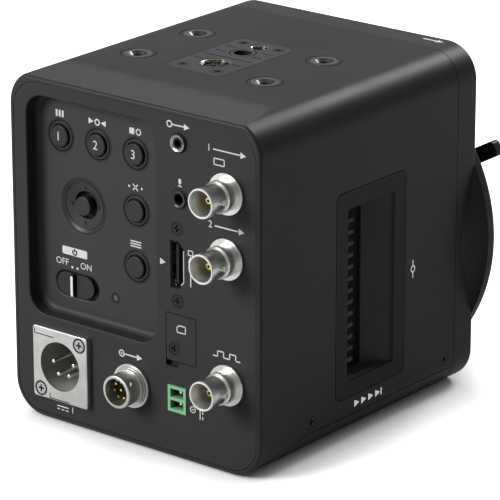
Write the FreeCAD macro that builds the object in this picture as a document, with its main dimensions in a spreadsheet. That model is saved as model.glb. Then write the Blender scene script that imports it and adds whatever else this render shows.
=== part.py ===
import FreeCAD, Part
import math
import os

import Sketcher

# Multi-purpose network camera, millimetres.
# +Z is up, the lens looks along -Y, the connector panel faces +Y.
# The origin is the mouth of the quarter-inch tripod thread in the base, under the lens axis.

os.makedirs("parts", exist_ok=True)
doc = FreeCAD.newDocument("camera")
V = FreeCAD.Vector

class Casing:
    body_width = 102.0
    body_height = 116.0
    body_depth = 113.0
    rear_reach = 52.5
    corner_radius = 11.5
    side_wall = 2.2
    top_wall = 3.4
    base_wall = 3.4
    seam_gap = 0.25
    rear_lip = 1.6
    rim_round = 1.0
    panel_gap = 0.12
    panel_edge = 0.2
    slope_length = 18.7
    slope_drop = 1.4
    panel_thick = 2.5
    front_depth = 10.5
    front_tongue = 2.5
    cover_height = 8.6
    cover_reach = 32.1
    edge_round = 1.2


class LensEnd:
    lens_height = 50.0
    sensor_front = 26.2
    flange_distance = 44.0
    boss_radius = 48.4
    boss_waist = 46.4
    band_width = 6.0
    flare_length = 4.5
    boss_reach = 12.8
    flange_radius = 57.2
    flange_deep = 10.0
    flange_proud = 4.0
    flange_sweep = 9.6
    flange_sink = 0.3
    flange_round = 2.4
    lip_width = 3.5
    well_depth = 6.0
    throat_radius = 29.0
    mount_radius = 33.5
    mount_thick = 4.0
    mount_bore = 27.0
    bayonet_bore = 25.7
    bayonet_thick = 1.3
    ring_gap = 0.3
    ring_proud = 3.2
    tab_reach = 56.5
    tab_width = 5.4
    tab_thick = 3.4
    tab_angle = 150.8
    tab_round = 1.5


class ControlPanel:
    recess_left = 44.0
    recess_right = -9.2
    recess_top = 108.8
    recess_base = 35.6
    recess_depth = 5.6
    recess_corner = 7.0
    recess_floor = 1.6
    recess_round = 1.9
    button_radius = 4.85
    button_gap = 0.3
    button_travel = 0.8
    button_pitch = 15.55
    button_dome = 3.55
    button_proud = 1.0
    key_column = 3.15
    key_row = 95.1
    key_drop = 18.6
    stick_across = 25.2
    stick_up = 73.4
    stick_ring = 9.0
    stick_plate = 7.9
    stick_seat = 1.1
    stick_hole = 4.65
    stick_knob = 3.2
    stick_press = 0.3
    switch_across = 37.4
    switch_up = 45.75
    switch_long = 18.1
    switch_tall = 8.1
    switch_travel = 2.0
    ridge_back = 7.1
    ridge_width = 0.9
    lamp_across = 12.3
    lamp_up = 45.3
    lamp_radius = 1.1


class PowerInlet:
    inlet_across = 29.8
    inlet_up = 19.9
    inlet_width = 23.0
    inlet_tall = 24.3
    inlet_thick = 2.0
    inlet_cavity = 8.3
    inlet_barrel = 9.6
    inlet_deep = 16.5
    inlet_pin = 0.75
    pin_recess = 1.5


class RoundSocket:
    remote_across = 0.9
    remote_up = 20.1
    remote_flange = 7.25
    remote_barrel = 5.5
    remote_reach = 8.0
    remote_bore = 4.5
    remote_recess = 5.0
    remote_pin = 0.4
    remote_circle = 2.7


class TerminalBlock:
    block_across = -17.75
    block_up = 19.85
    block_width = 7.3
    block_tall = 8.7
    block_wall = 1.0
    block_proud = 0.4
    block_deep = 7.0
    block_pin = 0.9


class SignalSockets:
    jack_across = -19.05
    jack_upper = 104.4
    jack_lower = 86.3
    jack_ring = 3.0
    coax_across = -38.0
    coax_first = 92.0
    coax_second = 71.0
    coax_third = 29.7
    coax_flange = 6.65
    coax_body = 5.2
    coax_barrel = 4.8
    coax_reach = 12.8
    coax_bore = 4.1
    coax_lug = 1.0
    coax_contact = 1.0
    coax_shoulder = 5.0
    video_across = -18.1
    video_up = 64.6
    video_width = 5.4
    video_tall = 15.3
    video_wall = 0.4
    video_screw = 11.9


class CardDoor:
    door_left = -13.45
    door_right = -25.25
    door_top = 48.1
    door_base = 32.6
    door_thick = 1.6
    door_gap = 0.3
    door_pin = 0.4
    pin_gap = 0.05
    door_deep = 7.3


class SideVent:
    vent_back = 14.6
    vent_front = -22.1
    vent_base = 14.8
    vent_top = 84.1
    vent_corner = 3.0
    vent_frame = 6.1
    vent_deep = 7.8
    ramp_length = 9.0
    bar_pitch = 3.9
    bar_thick = 1.3
    bar_length = 6.7
    bar_inset = 3.0


class ThreadsAndScrews:
    pattern_across = 3.0
    plate_width = 23.0
    plate_long = 38.8
    plate_thick = 1.6
    plate_corner = 3.5
    insert_width = 52.0
    insert_length = 30.0
    insert_radius = 4.5
    insert_bore = 2.1
    large_bore = 4.05
    large_bush = 5.4
    large_back = 7.7
    small_bore = 2.6
    small_bush = 3.5
    small_front = 14.5
    pin_deep = 6.0
    thread_deep = 8.0
    pin_bore = 3.0
    pin_front = 6.2
    groove_width = 0.9
    groove_deep = 0.7
    groove_pitch = 5.35
    base_large_back = 21.0
    screw_head = 1.9
    screw_shank = 1.0
    screw_length = 6.0
    screw_gap = 0.1
    plate_screw_x = 7.1
    plate_screw_y = 15.4
    side_screw_up = 12.3
    side_screw_back = 26.8
    side_screw_front = -44.5


class Inside:
    board_thick = 1.6
    rear_board = 42.0
    main_board_back = -4.4
    chassis_wall = 1.5
    chassis_half = 42.8
    chassis_top = 104.0
    chassis_base = 10.0
    chassis_back = 30.0
    sensor_width = 27.0
    sensor_tall = 17.0
    sensor_thick = 0.8
    wheel_radius = 34.5
    wheel_offset = 20.0
    wheel_front = 42.0
    wheel_thick = 1.5
    filter_radius = 13.0
    shaft_radius = 1.5
    shaft_gap = 0.05
    fan_size = 40.0
    fan_deep = 10.0
    fan_back = 18.0
    fan_up = 50.0
    fan_hub = 8.0
    fan_tip = 18.2
    slot_pitch = 4.0
    slot_width = 2.0
    sink_tall = 50.0
    sink_width = 56.0
    sink_deep = 15.0
    fin_pitch = 5.0
    fin_thick = 1.4

GROUPS = (Casing, LensEnd, ControlPanel, PowerInlet, RoundSocket, TerminalBlock, SignalSockets,
          CardDoor, SideVent, ThreadsAndScrews, Inside)

sheet = doc.addObject("Spreadsheet::Sheet", "Sizes")
row = 1
for group in GROUPS:
    sheet.set("A%d" % row, group.__name__)
    row += 1
    for alias, number in vars(group).items():
        if alias.startswith("_"):
            continue
        sheet.set("A%d" % row, alias)
        sheet.set("B%d" % row, str(number))
        sheet.setAlias("B%d" % row, alias)
        row += 1
doc.recompute()


class Size:
    """A number together with the sheet expression that it is worked out from."""

    def __init__(self, value, text):
        self.value = float(value)
        self.text = text

    def __add__(self, other):
        other = size(other)
        return Size(self.value + other.value, "(%s + %s)" % (self.text, other.text))

    def __sub__(self, other):
        other = size(other)
        return Size(self.value - other.value, "(%s - %s)" % (self.text, other.text))

    def __mul__(self, other):
        other = size(other)
        return Size(self.value * other.value, "(%s * %s)" % (self.text, other.text))

    def __truediv__(self, other):
        other = size(other)
        return Size(self.value / other.value, "(%s / %s)" % (self.text, other.text))

    def __radd__(self, other):
        return size(other) + self

    def __rsub__(self, other):
        return size(other) - self

    def __rmul__(self, other):
        return size(other) * self

    def __neg__(self):
        return Size(-self.value, "(0 - %s)" % self.text)


def size(number):
    if isinstance(number, Size):
        return number
    return Size(number, "(%s)" % repr(float(number)))


class Sheet:
    """Gives each alias of the sheet as a Size: S.body_width."""

    def __getattr__(self, alias):
        return Size(float(sheet.get(alias)), "Sizes.%s" % alias)


S = Sheet()


def turned(radius, degrees):
    """The two offsets of a point at a radius and an angle from +X."""
    radius = size(radius)
    across = math.cos(math.radians(degrees))
    along = math.sin(math.radians(degrees))
    return radius * across, radius * along


# Construction helpers: PartDesign bodies

PLANES = {"XY": ("XY_Plane", 1, "z"), "XZ": ("XZ_Plane", -1, "y"), "YZ": ("YZ_Plane", 1, "x")}


class Piece:
    """One PartDesign body, whose sketches lie on its own origin planes."""

    def __init__(self, label):
        self.body = doc.addObject("PartDesign::Body", label)
        self.body.Label = label
        self.label = label
        self.count = 0

    def name(self, kind):
        self.count += 1
        return "%s_%s_%d" % (self.label, kind, self.count)

    def sketch(self, plane, at):
        """A sketch on an origin plane, moved to the place `at` along the plane's axis."""
        role, sign, _ = PLANES[plane]
        sketch = self.body.newObject("Sketcher::SketchObject", self.name("sketch"))
        support = [part for part in self.body.Origin.OriginFeatures if part.Role == role][0]
        sketch.AttachmentSupport = [(support, "")]
        sketch.MapMode = "FlatFace"
        sketch.setExpression(".AttachmentOffset.Base.z", (size(at) * sign).text)
        return Outline(sketch, sign)

    def pad(self, outline, length, direction):
        """Adds the outline's area, `length` along (+1) or against (-1) the plane's axis."""
        pad = self.body.newObject("PartDesign::Pad", self.name("pad"))
        pad.Profile = outline.sketch
        pad.setExpression("Length", size(length).text)
        pad.Reversed = direction * outline.sign < 0
        self.body.Tip = pad
        return pad

    def pocket(self, outline, length, direction):
        """Cuts the outline's area, `length` along (+1) or against (-1) the plane's axis."""
        pocket = self.body.newObject("PartDesign::Pocket", self.name("pocket"))
        pocket.Profile = outline.sketch
        pocket.setExpression("Length", size(length).text)
        pocket.Reversed = direction * outline.sign > 0
        self.body.Tip = pocket
        return pocket

    def revolve(self, outline, kind="PartDesign::Revolution"):
        """Turns a half outline once round the vertical axis of its sketch."""
        feature = self.body.newObject(kind, self.name("turn"))
        feature.Profile = outline.sketch
        feature.ReferenceAxis = (outline.sketch, ["V_Axis"])
        feature.Angle = 360
        self.body.Tip = feature
        return feature

    def round_edges(self, radius, wanted, kind="PartDesign::Fillet"):
        """Rounds each edge of the shape so far that `wanted` accepts."""
        doc.recompute()
        base = self.body.Tip
        names = ["Edge%d" % (i + 1) for i, edge in enumerate(base.Shape.Edges) if wanted(edge)]
        if not names:
            raise ValueError("no edge to round on " + self.label)
        fillet = self.body.newObject(kind, self.name("round"))
        fillet.Base = (base, names)
        prop = "Radius" if kind == "PartDesign::Fillet" else "Size"
        fillet.setExpression(prop, size(radius).text)
        self.body.Tip = fillet
        return fillet


class Outline:
    """Closed curves in a sketch, each point held by sizes from the sketch's own origin."""

    def __init__(self, sketch, sign):
        self.sketch = sketch
        self.sign = sign

    def hold(self, kind, item, point, value):
        value = size(value)
        index = self.sketch.addConstraint(
            Sketcher.Constraint(kind, -1, 1, item, point, value.value))
        self.sketch.setExpression("Constraints[%d]" % index, value.text)

    def hold_point(self, item, point, across, up):
        self.hold("DistanceX", item, point, across)
        self.hold("DistanceY", item, point, up)

    def hold_radius(self, item, radius):
        index = self.sketch.addConstraint(Sketcher.Constraint("Radius", item, size(radius).value))
        self.sketch.setExpression("Constraints[%d]" % index, size(radius).text)

    def polygon(self, points):
        points = [(size(across), size(up)) for across, up in points]
        first = self.sketch.GeometryCount
        count = len(points)
        for i, (across, up) in enumerate(points):
            end = points[(i + 1) % count]
            self.sketch.addGeometry(Part.LineSegment(
                V(across.value, up.value, 0), V(end[0].value, end[1].value, 0)), False)
        for i in range(count):
            self.sketch.addConstraint(Sketcher.Constraint(
                "Coincident", first + i, 2, first + (i + 1) % count, 1))
        for i, (across, up) in enumerate(points):
            self.hold_point(first + i, 1, across, up)
        return self

    def circle(self, across, up, radius):
        across, up, radius = size(across), size(up), size(radius)
        item = self.sketch.addGeometry(
            Part.Circle(V(across.value, up.value, 0), V(0, 0, 1), radius.value), False)
        self.hold_point(item, 3, across, up)
        self.hold_radius(item, radius)
        return self

    def rounded(self, left, right, base, top, radius):
        """A rectangle from `left` < `right` and `base` < `top` with four round corners."""
        left, right, base, top, radius = [size(n) for n in (left, right, base, top, radius)]
        corners = [(right - radius, base + radius, 270), (right - radius, top - radius, 0),
                   (left + radius, top - radius, 90), (left + radius, base + radius, 180)]
        arcs = []
        for across, up, start in corners:
            circle = Part.Circle(V(across.value, up.value, 0), V(0, 0, 1), radius.value)
            arc = Part.ArcOfCircle(circle, math.radians(start), math.radians(start + 90))
            arcs.append(self.sketch.addGeometry(arc, False))
        for item, (across, up, start) in zip(arcs, corners):
            self.hold_point(item, 3, across, up)
            self.hold_radius(item, radius)
            first, last = ("Vertical", "Horizontal") if start in (270, 90) \
                else ("Horizontal", "Vertical")
            self.sketch.addConstraint(Sketcher.Constraint(first, item, 1, item, 3))
            self.sketch.addConstraint(Sketcher.Constraint(last, item, 2, item, 3))
        geometry = [self.sketch.Geometry[item] for item in arcs]
        for i in range(4):
            start = geometry[i].EndPoint
            end = geometry[(i + 1) % 4].StartPoint
            line = self.sketch.addGeometry(Part.LineSegment(start, end), False)
            self.sketch.addConstraint(Sketcher.Constraint("Coincident", arcs[i], 2, line, 1))
            self.sketch.addConstraint(
                Sketcher.Constraint("Coincident", line, 2, arcs[(i + 1) % 4], 1))
        return self

    def stadium(self, left, right, up, radius):
        """A level slot with half-round ends."""
        left, right, up, radius = size(left), size(right), size(up), size(radius)
        ends = [(right - radius, 270), (left + radius, 90)]
        arcs = []
        for across, start in ends:
            circle = Part.Circle(V(across.value, up.value, 0), V(0, 0, 1), radius.value)
            arc = Part.ArcOfCircle(circle, math.radians(start), math.radians(start + 180))
            arcs.append(self.sketch.addGeometry(arc, False))
        for item, (across, start) in zip(arcs, ends):
            self.hold_point(item, 3, across, up)
            self.hold_radius(item, radius)
            self.sketch.addConstraint(Sketcher.Constraint("Vertical", item, 1, item, 3))
            self.sketch.addConstraint(Sketcher.Constraint("Vertical", item, 2, item, 3))
        geometry = [self.sketch.Geometry[item] for item in arcs]
        for i in range(2):
            start = geometry[i].EndPoint
            end = geometry[1 - i].StartPoint
            line = self.sketch.addGeometry(Part.LineSegment(start, end), False)
            self.sketch.addConstraint(Sketcher.Constraint("Coincident", arcs[i], 2, line, 1))
            self.sketch.addConstraint(Sketcher.Constraint("Coincident", line, 2, arcs[1 - i], 1))
        return self


# Construction helpers: Part primitives and booleans

QUARTER_TURNS = {
    "+X": FreeCAD.Rotation(V(0, 1, 0), 90), "-X": FreeCAD.Rotation(V(0, 1, 0), -90),
    "+Y": FreeCAD.Rotation(V(1, 0, 0), -90), "-Y": FreeCAD.Rotation(V(1, 0, 0), 90),
    "+Z": FreeCAD.Rotation(), "-Z": FreeCAD.Rotation(V(1, 0, 0), 180),
}


def place(item, point):
    for letter, number in zip("xyz", point):
        item.setExpression(".Placement.Base.%s" % letter, size(number).text)


def rod(name, point, direction, radius, length):
    """A cylinder that starts at a point and runs along a direction."""
    item = doc.addObject("Part::Cylinder", name)
    item.Label = name
    item.Placement = FreeCAD.Placement(V(0, 0, 0), QUARTER_TURNS[direction])
    item.setExpression("Radius", size(radius).text)
    item.setExpression("Height", size(length).text)
    place(item, point)
    return item


def block(name, low, high):
    """A box between two opposite corners."""
    item = doc.addObject("Part::Box", name)
    item.Label = name
    for side, start, end in zip(("Length", "Width", "Height"), low, high):
        item.setExpression(side, (size(end) - start).text)
    place(item, low)
    return item


def join(name, parts):
    item = doc.addObject("Part::MultiFuse", name)
    item.Label = name
    item.Shapes = parts
    item.Refine = True
    return item


def cut(name, base, tools):
    item = doc.addObject("Part::Cut", name)
    item.Label = name
    item.Base = base
    item.Tool = tools[0] if len(tools) == 1 else join(name + "_tools", tools)
    item.Refine = True
    return item


def group(name, parts):
    """Separate solids that share one node."""
    item = doc.addObject("Part::Compound", name)
    item.Label = name
    item.Links = parts
    return item


def copies(name, original, points, turn=None):
    """The same piece again at each point, as separate solids."""
    links = []
    for i, point in enumerate(points):
        link = doc.addObject("App::Link", "%s_copy_%d" % (name, i + 1))
        link.LinkedObject = original
        link.LinkTransform = False
        if turn:
            link.Placement = FreeCAD.Placement(V(0, 0, 0), QUARTER_TURNS[turn[i]])
        place(link, point)
        links.append(link)
    return links


nodes = []


def node(item):
    """Marks an object as a sub-part that is written to its own file."""
    nodes.append(item.body if isinstance(item, Piece) else item)
    return item


# Places that several pieces share

half_width = S.body_width / 2
rear = S.rear_reach
front = S.rear_reach - S.body_depth
seam = front + S.front_depth
tongue_back = seam + S.front_tongue
panel_inside = rear - S.panel_thick
recess_face = rear - S.recess_depth
recess_back = recess_face - S.recess_floor
board_front = S.rear_board
board_rear = S.rear_board - S.board_thick
flange_plane = -(S.sensor_front + S.flange_distance)
lip_front = front - S.boss_reach
well_floor = lip_front + S.well_depth
inner_half = half_width - S.side_wall
inner_top = S.body_height - S.top_wall
key_places = {
    "button_1": (S.key_column + S.button_pitch * 2, S.key_row),
    "button_2": (S.key_column + S.button_pitch, S.key_row),
    "button_3": (S.key_column, S.key_row),
    "button_cancel": (S.key_column, S.key_row - S.key_drop),
    "button_menu": (S.key_column, S.key_row - S.key_drop * 2),
}
mount_screw_places = []
for angle in (45, 135, 225, 315):
    offset = turned(S.mount_radius - 3.2, angle)
    mount_screw_places.append((offset[0], S.lens_height + offset[1]))
coax_heights = [S.coax_first, S.coax_second, S.coax_third]
insert_places = [(S.pattern_across + S.insert_width / 2 * a, S.insert_length / 2 * b)
                 for a in (-1, 1) for b in (-1, 1)]
plate_screw_places = [(S.pattern_across + S.plate_screw_x * a, S.plate_screw_y * b)
                      for a in (-1, 1) for b in (-1, 1)]
side_screw_places = [(side, along) for side in (-1, 1)
                     for along in (S.side_screw_back, S.side_screw_front)]
video_screw_heights = [S.video_up + S.video_screw, S.video_up - S.video_screw]
inlet_screw_places = [(S.inlet_across + (S.inlet_width / 2 - 3.2) * side,
                       S.inlet_up - (S.inlet_tall / 2 - 3.0) * side) for side in (-1, 1)]


def edge_spans(edge, axis, length):
    box = edge.BoundBox
    return abs(getattr(box, axis + "Length") - length) < 0.01


def edge_lies(edge, axis, place_value):
    box = edge.BoundBox
    return abs(getattr(box, axis + "Min") - place_value) < 0.01 \
        and abs(getattr(box, axis + "Max") - place_value) < 0.01


def thread_block_outline(extra):
    """Outline of the block that carries the top threads, wider round the large one."""
    narrow, wide = S.small_bush + 0.8 + extra, S.large_bush + 1.0 + extra
    front_end = -S.small_front - S.small_bush - 0.8 - extra
    back_end = S.large_back + S.large_bush + 1.0 + extra
    half = [(narrow, front_end), (narrow, -S.pin_front - 3.8), (wide, S.large_back - 8.7),
            (wide, S.large_back + 3.0), (wide - 2.4, back_end)]
    return [(S.pattern_across + x, y) for x, y in half] \
        + [(S.pattern_across - x, y) for x, y in reversed(half)]


# Casing

def make_main_shell():
    """Top and two sides in one, open at both ends, with the base left to its cover."""
    shell = Piece("main_shell")
    back = rear
    length = back - seam - S.seam_gap
    outer = shell.sketch("XZ", back).rounded(
        -half_width, half_width, 0, S.body_height, S.corner_radius)
    shell.pad(outer, length, -1)
    slope = shell.sketch("YZ", -half_width - 1).polygon([
        (rear - S.slope_length, S.body_height), (rear + 1, S.body_height),
        (rear + 1, S.body_height - S.slope_drop - S.slope_drop / S.slope_length)])
    shell.pocket(slope, S.body_width + 2, 1)
    rear_end = rear.value
    shell.round_edges(S.rim_round, lambda edge: edge_lies(edge, "Y", rear_end))
    inner = shell.sketch("XZ", back).rounded(
        -inner_half, inner_half, S.base_wall, inner_top, S.corner_radius - S.side_wall)
    shell.pocket(inner, length, -1)
    lip_half = half_width - S.rear_lip
    lip = shell.sketch("XZ", back).rounded(
        -lip_half, lip_half, S.rear_lip, S.body_height - S.slope_drop - S.rear_lip,
        S.corner_radius - S.rear_lip)
    shell.pocket(lip, S.panel_thick, -1)
    floor_cut = shell.sketch("YZ", -half_width - 1).polygon([
        (seam, -1), (S.cover_reach, -1), (S.cover_reach, S.cover_height), (seam, S.cover_height)])
    shell.pocket(floor_cut, S.body_width + 2, 1)
    boss_deep = S.thread_deep - S.top_wall + 1
    boss_base = inner_top - boss_deep
    plate_half = S.plate_width / 2 + 3
    carrier = shell.sketch("XY", boss_base).rounded(
        S.pattern_across - plate_half, S.pattern_across + plate_half,
        -S.plate_long / 2 - 3, S.plate_long / 2 + 3, 3)
    shell.pad(carrier, boss_deep + 0.5, 1)
    for across, along in insert_places:
        shell.pad(shell.sketch("XY", boss_base).circle(across, along, S.insert_radius + 1.8),
                  boss_deep + 0.5, 1)
    top = S.body_height
    seat_half = S.plate_width / 2 + S.seam_gap
    seat = shell.sketch("XY", top).rounded(
        S.pattern_across - seat_half, S.pattern_across + seat_half,
        -S.plate_long / 2 - S.seam_gap, S.plate_long / 2 + S.seam_gap, S.plate_corner)
    shell.pocket(seat, S.plate_thick, -1)
    for across, along in insert_places:
        shell.pocket(shell.sketch("XY", top).circle(across, along, S.insert_radius),
                     S.thread_deep, -1)
    ring = shell.sketch("XY", top)
    for across, along in insert_places:
        ring.circle(across, along, S.insert_radius + 1.5)
        ring.circle(across, along, S.insert_radius + 1.1)
    shell.pocket(ring, 0.4, -1)
    window = shell.sketch("XY", top).polygon(thread_block_outline(S.seam_gap))
    shell.pocket(window, S.thread_deep + 3, -1)
    screw_holes = shell.sketch("XY", top)
    for across, along in plate_screw_places:
        screw_holes.circle(across, along, S.screw_shank)
    shell.pocket(screw_holes, S.thread_deep, -1)
    window = shell.sketch("YZ", -half_width).rounded(
        S.vent_front, S.vent_back, S.vent_base, S.vent_top, S.vent_corner)
    shell.pocket(window, S.side_wall + 1, 1)
    slots = shell.sketch("YZ", half_width)
    for i in range(9):
        up = S.fan_up + S.slot_pitch * (i - 4)
        slots.stadium(S.fan_back - S.fan_size / 2 + 2, S.fan_back + S.fan_size / 2 - 2, up,
                      S.slot_width / 2)
    shell.pocket(slots, S.side_wall + 1, -1)
    for side, along in side_screw_places:
        plane = half_width * side
        shell.pocket(shell.sketch("YZ", plane).circle(along, S.side_screw_up,
                                                      S.screw_head + S.screw_gap * 2), 1.1, -side)
        shell.pocket(shell.sketch("YZ", plane).circle(along, S.side_screw_up,
                                                      S.screw_shank + S.screw_gap),
                     S.side_wall + 1, -side)
    return node(shell)


def make_rear_panel():
    """Connector panel with the dished control recess and every connector's hole."""
    panel = Piece("rear_panel")
    edge = S.rear_lip + S.panel_gap
    half = half_width - edge
    top = S.body_height - S.slope_drop - edge
    outline = panel.sketch("XZ", rear).rounded(-half, half, edge, top, S.corner_radius - edge)
    panel.pad(outline, S.panel_thick, -1)
    outer_face = rear.value
    panel.round_edges(S.panel_edge, lambda edge: edge_lies(edge, "Y", outer_face))
    dish = panel.sketch("XZ", panel_inside + 0.5).rounded(
        S.recess_right - S.recess_floor, S.recess_left + S.recess_floor,
        S.recess_base - S.recess_floor, S.recess_top + S.recess_floor, S.recess_corner)
    panel.pad(dish, panel_inside + 0.5 - recess_back, -1)
    hollow = panel.sketch("XZ", rear).rounded(
        S.recess_right, S.recess_left, S.recess_base, S.recess_top, S.recess_corner)
    panel.pocket(hollow, S.recess_depth, -1)
    panel.round_edges(S.recess_round, lambda edge: edge_lies(edge, "Y", recess_face.value)
                      and S.recess_right.value - 0.1 < edge.CenterOfMass.x
                      < S.recess_left.value + 0.1)
    panel.round_edges(0.6, lambda edge: edge_lies(edge, "Y", outer_face)
                      and abs(edge.CenterOfMass.x) < half.value - 3.5
                      and S.recess_base.value - 1 < edge.CenterOfMass.z
                      < S.recess_top.value + 1)
    controls = panel.sketch("XZ", recess_face)
    for across, up in key_places.values():
        controls.circle(across, up, S.button_radius + S.button_gap)
    controls.circle(S.stick_across, S.stick_up, S.stick_ring - 1)
    controls.circle(S.lamp_across, S.lamp_up, S.lamp_radius + 0.1)
    controls.stadium(S.switch_across - S.switch_long, S.switch_across, S.switch_up,
                     S.switch_tall / 2)
    panel.pocket(controls, S.recess_floor + 1, -1)
    panel.round_edges(0.8, lambda edge: edge_lies(edge, "Y", recess_face.value)
                      and abs(edge.CenterOfMass.z - S.switch_up.value) < S.switch_tall.value / 2 + 0.1
                      and S.switch_across.value - S.switch_long.value - 0.1
                      < edge.CenterOfMass.x < S.switch_across.value + 0.1)
    panel.pocket(panel.sketch("XZ", recess_face).circle(
        S.stick_across, S.stick_up, S.stick_ring + 0.05), S.stick_seat, -1)
    ports = panel.sketch("XZ", rear)
    ports.circle(S.inlet_across, S.inlet_up, S.inlet_barrel + 0.3)
    ports.circle(S.remote_across, S.remote_up, S.remote_barrel + 0.15)
    ports.circle(S.jack_across, S.jack_upper, S.jack_ring + 0.15)
    ports.circle(S.jack_across, S.jack_lower, S.jack_ring + 0.15)
    for up in coax_heights:
        ports.circle(S.coax_across, up, S.coax_body + 0.15)
    gap = S.seam_gap
    ports.polygon([
        (S.block_across - S.block_width / 2 - gap, S.block_up - S.block_tall / 2 - gap),
        (S.block_across + S.block_width / 2 + gap, S.block_up - S.block_tall / 2 - gap),
        (S.block_across + S.block_width / 2 + gap, S.block_up + S.block_tall / 2 + gap),
        (S.block_across - S.block_width / 2 - gap, S.block_up + S.block_tall / 2 + gap)])
    ports.polygon(video_outline(gap / 2))
    panel.pocket(ports, S.panel_thick + 1, -1)
    for up in video_screw_heights:
        panel.pocket(panel.sketch("XZ", rear).circle(S.video_across, up, S.screw_head + S.screw_gap * 2),
                     1.1, -1)
        panel.pocket(panel.sketch("XZ", rear).circle(S.video_across, up, S.screw_shank + S.screw_gap),
                     S.panel_thick + 1, -1)
    for x, z in inlet_screw_places:
        panel.pocket(panel.sketch("XZ", rear).circle(x, z, S.screw_shank + S.screw_gap),
                     S.panel_thick + 1, -1)
    door = panel.sketch("XZ", rear).rounded(
        S.door_right - S.door_gap, S.door_left + S.door_gap, S.door_base - S.door_gap,
        S.door_top + S.door_gap, 1.0)
    panel.pocket(door, S.panel_thick + 1, -1)
    notch = panel.sketch("XZ", rear).rounded(
        S.door_left - 4.8, S.door_left + S.door_gap, S.door_base - 2.2, S.door_base + 1.0, 0.8)
    panel.pocket(notch, 1.8, -1)
    pin_depth = rear - S.door_thick / 2
    pin_hole = panel.sketch("YZ", S.door_right - S.door_gap - 2).circle(
        pin_depth, S.door_top - 1.1, S.door_pin)
    panel.pocket(pin_hole, S.door_left - S.door_right + S.door_gap * 2 + 4, 1)
    posts = panel.sketch("XZ", board_front)
    corner = half_width - 7.5
    for across, up in [(-corner, S.body_height - 9), (S.recess_right - 3.5, S.body_height - 9),
                       (-corner, S.rear_lip + 10.9), (S.inlet_across - 20.5, S.rear_lip + 10.9),
                       (corner, S.recess_base - 4.5)]:
        posts.circle(across, up, 2.0)
    panel.pad(posts, panel_inside - board_front + 0.5, 1)
    pegs = panel.sketch("XZ", board_front)
    for across, up in [(S.recess_left - 3, S.recess_top - 5), (S.recess_right + 4.2, S.recess_top - 5),
                       (S.recess_left - 3, S.stick_up - 14), (S.recess_right + 4.2, S.recess_base + 11)]:
        pegs.circle(across, up, 1.6)
    panel.pad(pegs, recess_back - board_front + 0.5, 1)
    return node(panel)


def video_outline(extra):
    """The socket's section: square corners on one side, cut corners on the other."""
    left = S.video_across - S.video_width / 2 - extra
    right = S.video_across + S.video_width / 2 + extra
    top = S.video_up + S.video_tall / 2 + extra
    base = S.video_up - S.video_tall / 2 - extra
    nick = S.video_width * 0.4
    return [(right, base), (right, top), (left + nick, top), (left, top - nick),
            (left, base + nick), (left + nick, base)]


def make_front_panel():
    """Front casting, with the round boss that holds the lens mount."""
    panel = Piece("front_blank")
    outline = panel.sketch("XZ", seam).rounded(
        -half_width, half_width, 0, S.body_height, S.corner_radius)
    panel.pad(outline, S.front_depth, -1)
    panel.round_edges(S.edge_round, lambda edge: edge_lies(edge, "Y", front.value))
    tongue_half = inner_half - 3.3
    tongue = panel.sketch("XZ", seam - 1).rounded(
        -tongue_half, tongue_half, S.base_wall + 2.6, inner_top - 2.6, S.corner_radius / 2)
    panel.pad(tongue, S.front_tongue + 1, 1)
    boss = panel.sketch("XZ", front + 1).circle(0, S.lens_height, S.boss_waist)
    panel.pad(boss, S.boss_reach + 1, -1)
    return panel


def make_front():
    """The wide flange, the flared lip, the well and the throat are turned about the lens axis."""
    blank = make_front_panel()
    lip = rod("front_lip", (0, lip_front + S.band_width, S.lens_height), "-Y", S.boss_radius,
              S.band_width)
    flare = doc.addObject("Part::Cone", "front_flare")
    flare.Placement = FreeCAD.Placement(V(0, 0, 0), QUARTER_TURNS["-Y"])
    flare.setExpression("Radius1", S.boss_waist.text)
    flare.setExpression("Radius2", S.boss_radius.text)
    flare.setExpression("Height", S.flare_length.text)
    place(flare, (0, lip_front + S.band_width + S.flare_length, S.lens_height))
    flange_back = front + S.flange_deep
    flange_front = front - S.flange_proud
    disc = rod("front_disc", (0, flange_back, S.lens_height), "-Y", S.flange_radius,
               S.flange_deep + S.flange_proud)
    sweep = doc.addObject("Part::Torus", "front_sweep")
    sweep.Placement = FreeCAD.Placement(V(0, 0, 0), QUARTER_TURNS["-Y"])
    sweep.setExpression("Radius1", (half_width - S.flange_sink + S.flange_sweep).text)
    sweep.setExpression("Radius2", S.flange_sweep.text)
    place(sweep, (0, flange_back, S.lens_height))
    reach = S.flange_radius + 4
    below = block("front_disc_below", (-reach, flange_front - 1, S.lens_height - reach),
                  (reach, flange_back + 1, 0))
    rolled = doc.addObject("Part::Fillet", "front_disc_rolled")
    rolled.Base = disc
    doc.recompute()
    face, rim = flange_front.value, S.flange_round.value
    rolled.Edges = [(i + 1, rim, rim) for i, edge in enumerate(disc.Shape.Edges)
                    if edge_lies(edge, "Y", face)]
    flange = cut("front_flange", rolled, [sweep, below])
    solid = join("front_solid", [blank.body, flange, lip, flare])
    well = rod("front_well", (0, well_floor, S.lens_height), "-Y",
               S.boss_radius - S.lip_width, S.well_depth + 1)
    seat = rod("front_seat", (0, flange_plane + S.mount_thick, S.lens_height), "-Y",
               S.mount_radius, S.mount_thick + 10)
    throat = rod("front_throat", (0, tongue_back + 1, S.lens_height), "-Y", S.throat_radius,
                 S.front_depth + S.front_tongue + S.boss_reach + 2)
    pilots = [rod("front_pilot_%d" % (i + 1), (x, flange_plane, z), "+Y",
                  S.screw_shank + S.screw_gap, S.screw_length + 2)
              for i, (x, z) in enumerate(mount_screw_places)]
    panel = cut("front_panel", solid, [well, seat, throat] + pilots)
    return node(panel)


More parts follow.
